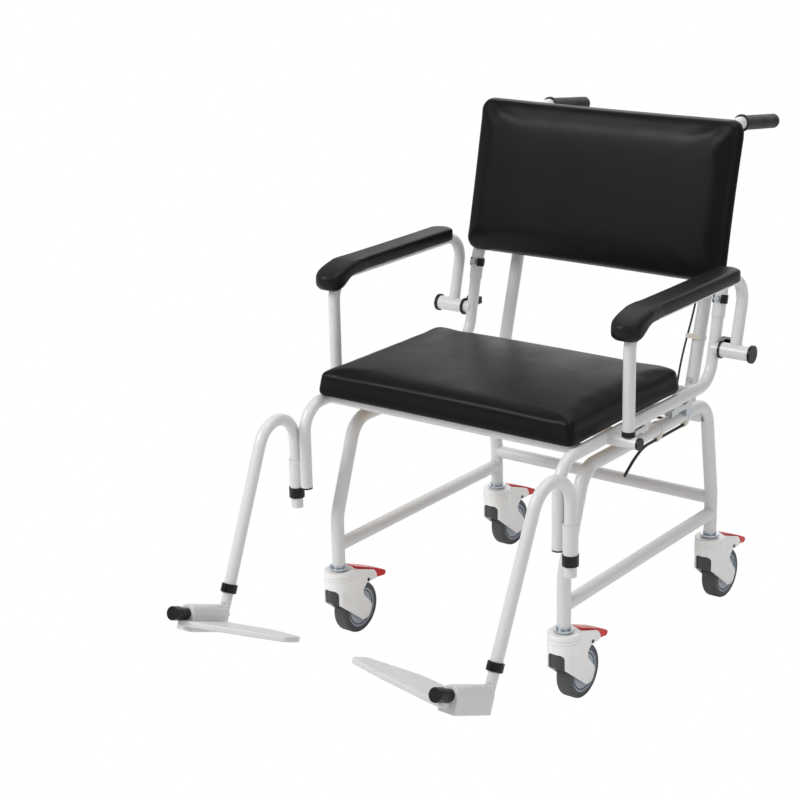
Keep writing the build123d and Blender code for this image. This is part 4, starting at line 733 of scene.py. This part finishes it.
def round_sections(piece, stations, middle_x, bluntest, roundest):
    """Rounds the cross sections ahead of the bend, most of all at the nose."""
    rows = sorted(stations)
    first_y, bend_y = rows[0][0], next(row[0] for row in rows if row[2] == rows[-1][2])
    for vertex in piece.data.vertices:
        y = min(max(vertex.co.y, first_y), bend_y)
        after = next((row for row in rows if row[0] > y), rows[-1])
        before = rows[max(0, rows.index(after) - 1)]
        share = (y - before[0]) / (after[0] - before[0])
        top, bottom, half = (
            before[part] + (after[part] - before[part]) * share for part in (1, 2, 3))
        power = roundest + (bluntest - roundest) * (y - first_y) / (bend_y - first_y)
        middle_z, tall = (top + bottom) / 2, (top - bottom) / 2
        across, up = abs(vertex.co.x - middle_x) / half, abs(vertex.co.z - middle_z) / tall
        if across + up > 0 and vertex.co.y < bend_y:
            shrink = max(across, up) / (across ** power + up ** power) ** (1 / power)
            vertex.co.x = middle_x + (vertex.co.x - middle_x) * shrink
            vertex.co.z = middle_z + (vertex.co.z - middle_z) * shrink


class CHAIR_OT_arm_cushions(bpy.types.Operator):
    """Makes the two arm pads, with their drooped front ends"""
    bl_idname = "chair.arm_cushions"
    bl_label = "Arm cushions"

    def execute(self, context):
        low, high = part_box("arm_pad_right")
        middle_x, mid_z = (low.x + high.x) / 2, (low.z + high.z) / 2
        voxel, puff, bluntest, roundest, nose_length = 0.0032, 0.0012, 14.0, 2.6, 0.06
        groove_radius, groove_length, groove_y, groove_z = 0.0113, 0.348, 0.046, 0.682
        piece = block("arm_cushion", low, high)
        stations = arm_stations(low, high)
        for y in [row[0] for row in stations[1:-1]]:
            pick(piece, "FACE", lambda centre, face: True)
            bpy.ops.mesh.bisect(plane_co=(0, y, 0), plane_no=(0, 1, 0))
        stop_editing()
        for vertex in piece.data.vertices:
            y, top, bottom, half = min(stations, key=lambda row: abs(row[0] - vertex.co.y))
            x = middle_x + math.copysign(half, vertex.co.x - middle_x)
            vertex.co = (x, y, top if vertex.co.z > mid_z else bottom)
        swollen(piece, voxel, puff, pressure=3.0)
        round_sections(piece, stations, middle_x, bluntest, roundest)
        pick(piece, "VERT", lambda spot, part: spot.y < low.y + nose_length)
        bpy.ops.mesh.vertices_smooth(factor=0.5, repeat=12)
        stop_editing()
        fitted(piece, low, high)
        tube = drum(
            "arm_tube_groove", groove_radius, groove_length, (middle_x, groove_y, groove_z),
            (0, 1, 0))
        modify(piece, "BOOLEAN", operation="DIFFERENCE", object=tube, solver="EXACT")
        bpy.data.objects.remove(tube)
        smooth(piece)
        twin = copied(piece, "arm_cushion_left", Matrix.Scale(-1, 4, (1, 0, 0)))
        piece.name = piece.data.name = "arm_cushion_right"
        for side, cushion in (("right", piece), ("left", twin)):
            dress(cushion, finishes["arm_foam"], f"armrest_{side}")
            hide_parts(f"arm_pad_{side}")
        return {"FINISHED"}


# The display

panel_tilt = math.radians(24)
panel_out = Vector((0, math.cos(panel_tilt), math.sin(panel_tilt)))
panel_up = Vector((0, -math.sin(panel_tilt), math.cos(panel_tilt)))
panel_place = Matrix.Translation((0, 0.402, 0.822)) @ Matrix((
    (-1, 0, 0), (0, panel_up.y, panel_out.y), (0, panel_up.z, panel_out.z))).to_4x4()
face, glass, key_top = 0.0200, 0.0195, 0.0204
stroke_top, figure_height = glass + 0.0001, 0.00012


def on_panel(piece):
    """Moves a piece drawn flat, x right and y up, on to the face of the display."""
    piece.data.transform(panel_place)
    return piece


def plate(name, width, height, corner, middle, low, high):
    """A thin plate with rounded corners."""
    x, y = middle
    piece = block(name, (x - width / 2, y - height / 2, low), (x + width / 2, y + height / 2, high))
    pick(piece, "EDGE", lambda spot, edge: rise_of(edge) > (high - low) / 2)
    bpy.ops.mesh.bevel(offset=corner, segments=4)
    stop_editing()
    return piece


def rim(name, width, height, corner, wire, middle, low, high):
    """A flat frame round a plate's edge."""
    outer = plate(name, width, height, corner, middle, low, high)
    inner = plate(
        "rim_hole", width - 2 * wire, height - 2 * wire, corner / 2, middle, low - wire,
        high + wire)
    modify(outer, "BOOLEAN", operation="DIFFERENCE", object=inner, solver="EXACT")
    bpy.data.objects.remove(inner)
    return outer


def bar(start, end, half, low, high):
    """One stroke of a digit: a flat bar with pointed ends."""
    start, end = Vector(start), Vector(end)
    along = (end - start).normalized()
    side = Vector((-along.y, along.x))
    step, out = along * half, side * half
    outline = [
        start, start + step + out, end - step + out, end, end - step - out, start + step - out]
    clear_selection()
    bpy.ops.mesh.primitive_circle_add(vertices=6, radius=half, fill_type="NGON")
    piece = named("stroke")
    for vertex, spot in zip(piece.data.vertices, outline):
        vertex.co = (spot.x, spot.y, high)
    pick(piece, "FACE", lambda middle, part: True)
    bpy.ops.mesh.normals_make_consistent(inside=False)
    bpy.ops.mesh.extrude_region_move(TRANSFORM_OT_translate={"value": (0, 0, low - high)})
    bpy.ops.mesh.select_all(action="SELECT")
    bpy.ops.mesh.normals_make_consistent(inside=False)
    stop_editing()
    return piece


def digit(number, middle, width, height, wire):
    """The lit strokes of a seven-stroke digit, leaning a little to the right."""
    x, y = middle
    right, top = width / 2 - wire / 2, height / 2 - wire / 2
    gap, lean = wire * 0.08, 0.10
    corners_of = {
        "a": ((-right, top), (right, top)), "b": ((right, top), (right, 0)),
        "c": ((right, 0), (right, -top)), "d": ((-right, -top), (right, -top)),
        "e": ((-right, 0), (-right, -top)), "f": ((-right, top), (-right, 0)),
        "g": ((-right, 0), (right, 0)),
    }
    lit = {
        "0": "abcdef", "1": "bc", "2": "abged", "3": "abgcd", "4": "fgbc", "5": "afgcd",
        "7": "abc", "8": "abcdefg",
    }
    strokes = []
    for key in lit[number]:
        start, end = (Vector(spot) for spot in corners_of[key])
        pull = (end - start).normalized() * gap
        ends = [
            (spot.x + x + lean * spot.y, spot.y + y) for spot in (start + pull, end - pull)]
        strokes.append(bar(*ends, wire / 2, glass, stroke_top))
    return strokes


def reading(numbers, first, step, y, width, height, wire):
    """A row of digits; a point takes no place of its own."""
    strokes, x = [], first
    for number in numbers:
        if number == ".":
            spot = (x - step / 2 - 0.0004, y - height / 2 + wire * 0.3)
            strokes.append(
                plate("point", wire * 0.9, wire * 0.9, wire * 0.2, spot, glass, stroke_top))
        else:
            strokes += digit(number, (x, y), width, height, wire)
            x += step
    return strokes


def lettering(text, middle, height, low):
    """Plain figures as a mesh."""
    capital_share = 0.70
    clear_selection()
    bpy.ops.object.text_add(location=(0, 0, 0))
    piece = bpy.context.object
    piece.data.body = text
    piece.data.align_x = "CENTER"
    piece.data.align_y = "CENTER"
    piece.data.size = height / capital_share
    piece.data.extrude = figure_height / 2
    piece.data.resolution_u = 3
    bpy.ops.object.convert(target="MESH")
    piece = named("figure")
    piece.data.transform(Matrix.Translation((*middle, low + figure_height / 2)))
    return piece


class CHAIR_OT_display(bpy.types.Operator):
    """Finishes the display: frames of the windows, readings, keys and their figures"""
    bl_idname = "chair.display"
    bl_label = "Display"

    def execute(self, context):
        back_to_panel = panel_place.inverted()
        pitch_x, pitch_y, middle_x, middle_y = 0.0195, 0.0152, 0.0525, 0.0014
        light = {
            (1, 1): "1", (1, 2): "2", (1, 3): "3", (2, 1): "4", (2, 2): "5", (2, 3): "6",
            (3, 1): "7", (3, 2): "8", (3, 3): "9", (4, 2): "0",
        }

        def key_spot(row, column):
            return middle_x + (column - 1.5) * pitch_x, middle_y + (2 - row) * pitch_y

        def key_of(points):
            """The row and column of the key that a raised face belongs to, or None."""
            flat = [back_to_panel @ point for point in points]
            heights = [point.z for point in flat]
            if min(heights) < face - 0.00005 or max(heights) < key_top - 0.0001:
                return None
            centre = sum(flat, Vector()) / len(flat)
            column = round((centre.x - middle_x) / pitch_x + 1.5)
            row = round(2 - (centre.y - middle_y) / pitch_y)
            return (row, column)

        def on_light_key(points):
            return key_of(points) in light

        def on_dark_key(points):
            return key_of(points) is not None and not on_light_key(points)

        paint(
            "indicator_overlay", finishes["film"],
            (finishes["dark_key"], on_dark_key), (finishes["key_edge"], on_light_key))

        # Frames of the windows: name, width, height, middle
        rims = []
        for name, width, height, middle in (
            ("weight_rim", 0.0838, 0.0302, (-0.0546, 0.0228)),
            ("total_rim", 0.0571, 0.0409, (-0.0412, -0.0182)),
        ):
            rims.append(
                rim(name, width, height, 0.0015, 0.0013, middle, glass - 0.0002, face + 0.0001))
        rims.append(
            plate("total_rule", 0.0502, 0.0011, 0.0004, (-0.0409, -0.0210), glass, stroke_top))
        dress(on_panel(joined("window_rims", rims)), finishes["ink"], "display")

        # Readings: figures, x of the first, step, y, width, height, stroke
        strokes = []
        for row in (
            ("75.0", -0.0535, 0.0114, 0.0221, 0.0098, 0.0200, 0.0025),
            ("183.", -0.0492, 0.0089, -0.0099, 0.0067, 0.0134, 0.0016),
            ("0", -0.0222, 0.0089, -0.0136, 0.0031, 0.0073, 0.0008),
            ("22.4", -0.0463, 0.0064, -0.0300, 0.0052, 0.0104, 0.0013),
        ):
            strokes += reading(*row)
        for x, y, size in ((-0.0178, 0.0141, 0.0020), (-0.0169, -0.0134, 0.0018)):
            clear_selection()
            bpy.ops.mesh.primitive_cylinder_add(
                vertices=3, radius=size, depth=0.0001, location=(x, y, glass + 0.00005),
                rotation=(0, 0, -math.pi / 2))
            strokes.append(settle(named("pointer")))
        dress(on_panel(joined("readings", strokes)), finishes["segment"], "display")

        key_width, key_height, key_corner, figure_size, switch_size = (
            0.0158, 0.0118, 0.0012, 0.0056, 0.0034)
        raised = key_top + 0.0002
        tops = [
            plate("key_top", key_width, key_height, key_corner, key_spot(*spot),
                  key_top - 0.0001, raised)
            for spot in light]
        dress(on_panel(joined("light_key_tops", tops)), finishes["light_key"], "display")
        figures = [
            lettering(text, key_spot(*spot), figure_size, raised)
            for spot, text in light.items()]
        dress(on_panel(joined("key_figures", figures)), finishes["ink"], "display")
        x, y = key_spot(0, 0)
        switch = [
            lettering("ON", (x, y + 0.0028), switch_size, key_top),
            lettering("OFF", (x, y - 0.0030), switch_size, key_top),
            plate("switch_rule", 0.0085, 0.00045, 0.0001, (x, y - 0.0001),
                  key_top, key_top + figure_height),
        ]
        dress(on_panel(joined("switch_figures", switch)), finishes["pale_ink"], "display")

        lamp_spot = (-0.0927, 0.0473, face)
        lamp = on_panel(ring("lamp_ring", 0.0021, 0.0006, lamp_spot, (0, 0, 1), 32, 8))
        dress(lamp, finishes["ink"], "display")
        lens = on_panel(drum("lamp_lens", 0.0017, 0.0008, lamp_spot, (0, 0, 1), 24))
        dress(round_edges(lens, 0.0003), finishes["hub"], "display")

        # The dark strip is drawn flat and stood up on the upper edge of the case
        strip = plate("top_strip", 0.0885, 0.0150, 0.0040, (-0.0523, 0.0), 0.0, 0.0022)
        round_edges(strip, 0.0005)
        strip.data.transform(
            Matrix(((1, 0, 0, 0), (0, 0, 1, 0.0603), (0, 1, 0, 0.0040), (0, 0, 0, 1))))
        strip.data.flip_normals()
        dress(on_panel(strip), finishes["rubber"], "display")
        return {"FINISHED"}


class CHAIR_OT_loose_lead(bpy.types.Operator):
    """Makes the loose end of the lead under the right rail"""
    bl_idname = "chair.loose_lead"
    bl_label = "Loose lead"

    def execute(self, context):
        route = [(0.250, 0.017, 0.404), (0.250, -0.018, 0.404), (0.250, -0.066, 0.367)]
        line = bpy.data.curves.new("loose_lead", "CURVE")
        line.dimensions = "3D"
        line.bevel_depth = 0.0028
        line.bevel_resolution = 5
        line.use_fill_caps = True
        spline = line.splines.new("NURBS")
        spline.points.add(len(route) - 1)
        for point, place in zip(spline.points, route):
            point.co = (*place, 1)
        spline.order_u = 3
        spline.use_endpoint_u = True
        spline.resolution_u = 24
        piece = bpy.data.objects.new("loose_lead", line)
        context.scene.collection.objects.link(piece)
        dress(piece, finishes["sheath"], "frame")
        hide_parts("lead_tail")
        return {"FINISHED"}


class CHAIR_OT_stage(bpy.types.Operator):
    """Lays the floor and sets the lamps, the world and the camera"""
    bl_idname = "chair.stage"
    bl_label = "Stage"

    def execute(self, context):
        scene = context.scene
        scene.view_settings.view_transform = "Standard"
        clear_selection()
        bpy.ops.mesh.primitive_plane_add(size=14, location=(0, 2.0, 0))
        floor = settle(named("floor"))
        material, tree, shader, place = shader_of("studio_floor")
        shader.inputs["Base Color"].default_value = (0.93, 0.93, 0.93, 1)
        shader.inputs["Roughness"].default_value = 0.9
        path = tree.nodes.new("ShaderNodeLightPath")
        glow = tree.nodes.new("ShaderNodeEmission")
        glow.inputs["Strength"].default_value = 1.0
        mix = tree.nodes.new("ShaderNodeMixShader")
        out = tree.nodes["Material Output"]
        tree.links.new(path.outputs["Is Camera Ray"], mix.inputs["Fac"])
        tree.links.new(shader.outputs["BSDF"], mix.inputs[1])
        tree.links.new(glow.outputs["Emission"], mix.inputs[2])
        tree.links.new(mix.outputs["Shader"], out.inputs["Surface"])
        floor.data.materials.append(material)

        world = bpy.data.worlds.new("studio")
        scene.world = world
        world.use_nodes = True
        tree = world.node_tree
        room = tree.nodes["Background"]
        room.inputs["Color"].default_value = (1, 1, 1, 1)
        room.inputs["Strength"].default_value = 0.43
        seen = tree.nodes.new("ShaderNodeBackground")
        seen.inputs["Color"].default_value = (1, 1, 1, 1)
        seen.inputs["Strength"].default_value = 1.0
        path = tree.nodes.new("ShaderNodeLightPath")
        mix = tree.nodes.new("ShaderNodeMixShader")
        tree.links.new(path.outputs["Is Camera Ray"], mix.inputs["Fac"])
        tree.links.new(room.outputs["Background"], mix.inputs[1])
        tree.links.new(seen.outputs["Background"], mix.inputs[2])
        tree.links.new(mix.outputs["Shader"], tree.nodes["World Output"].inputs["Surface"])

        # Lamps: name, place, watts, size
        for name, spot, energy, size in (
            ("key_lamp", (-1.6, -2.6, 2.9), 84.0, 1.5),
            ("fill_lamp", (2.8, -1.4, 1.8), 10.0, 1.6),
            ("top_lamp", (0.5, 0.0, 3.3), 24.0, 1.6),
            ("rear_lamp", (-0.6, 2.8, 2.2), 46.0, 3.4),
        ):
            lamp = bpy.data.lights.new(name, "AREA")
            lamp.energy = energy
            lamp.size = size
            piece = bpy.data.objects.new(name, lamp)
            piece.location = spot
            aim = Vector((0, 0, 0.5)) - Vector(spot)
            piece.rotation_euler = aim.to_track_quat("-Z", "Y").to_euler()
            scene.collection.objects.link(piece)

        azimuth, elevation, roll = (math.radians(angle) for angle in (37.0011, 17.8091, -1.2700))
        target = Vector((0, 0, 0.48))
        shift_across, shift_above, distance = -0.23783, -0.02936, 3.64112
        focal_pixels, picture_pixels, sensor = 1946.692, 800, 36.0
        back = Vector((
            math.sin(azimuth) * math.cos(elevation), -math.cos(azimuth) * math.cos(elevation),
            math.sin(elevation)))
        right = Vector((math.cos(azimuth), math.sin(azimuth), 0))
        up = back.cross(right)
        across = right * math.cos(roll) + up * math.sin(roll)
        above = up * math.cos(roll) - right * math.sin(roll)
        eye = target + across * shift_across + above * shift_above + back * distance
        axes = Matrix((across, above, back)).transposed().to_4x4()
        lens = bpy.data.cameras.new("camera")
        lens.sensor_width = sensor
        lens.lens = focal_pixels / picture_pixels * sensor
        camera = bpy.data.objects.new("camera", lens)
        camera.matrix_world = Matrix.Translation(eye) @ axes
        scene.collection.objects.link(camera)
        scene.camera = camera
        return {"FINISHED"}


class CHAIR_PT_panel(bpy.types.Panel):
    bl_idname = "CHAIR_PT_panel"
    bl_label = "Chair scale"
    bl_space_type = "VIEW_3D"
    bl_region_type = "UI"
    bl_category = "Chair scale"

    def draw(self, context):
        for group in (context.scene.chair_colours, context.scene.chair_sizes):
            for key in group.bl_rna.properties.keys():
                if key not in ("rna_type", "name"):
                    self.layout.prop(group, key)
        for operator in operators:
            self.layout.operator(operator.bl_idname)


operators = (
    CHAIR_OT_frame_finish,
    CHAIR_OT_casters,
    CHAIR_OT_seat_cushion,
    CHAIR_OT_back_cushion,
    CHAIR_OT_arm_cushions,
    CHAIR_OT_display,
    CHAIR_OT_loose_lead,
    CHAIR_OT_stage,
)
classes = (ChairColours, ChairSizes, *operators, CHAIR_PT_panel)


def register():
    for entry in classes:
        bpy.utils.register_class(entry)
    bpy.types.Scene.chair_colours = bpy.props.PointerProperty(type=ChairColours)
    bpy.types.Scene.chair_sizes = bpy.props.PointerProperty(type=ChairSizes)


def unregister():
    del bpy.types.Scene.chair_sizes
    del bpy.types.Scene.chair_colours
    for entry in reversed(classes):
        bpy.utils.unregister_class(entry)


def main():
    register()
    make_finishes()
    bpy.ops.chair.frame_finish()
    bpy.ops.chair.casters()
    bpy.ops.chair.seat_cushion()
    bpy.ops.chair.back_cushion()
    bpy.ops.chair.arm_cushions()
    bpy.ops.chair.display()
    bpy.ops.chair.loose_lead()
    bpy.ops.chair.stage()


if __name__ == "__main__":
    main()
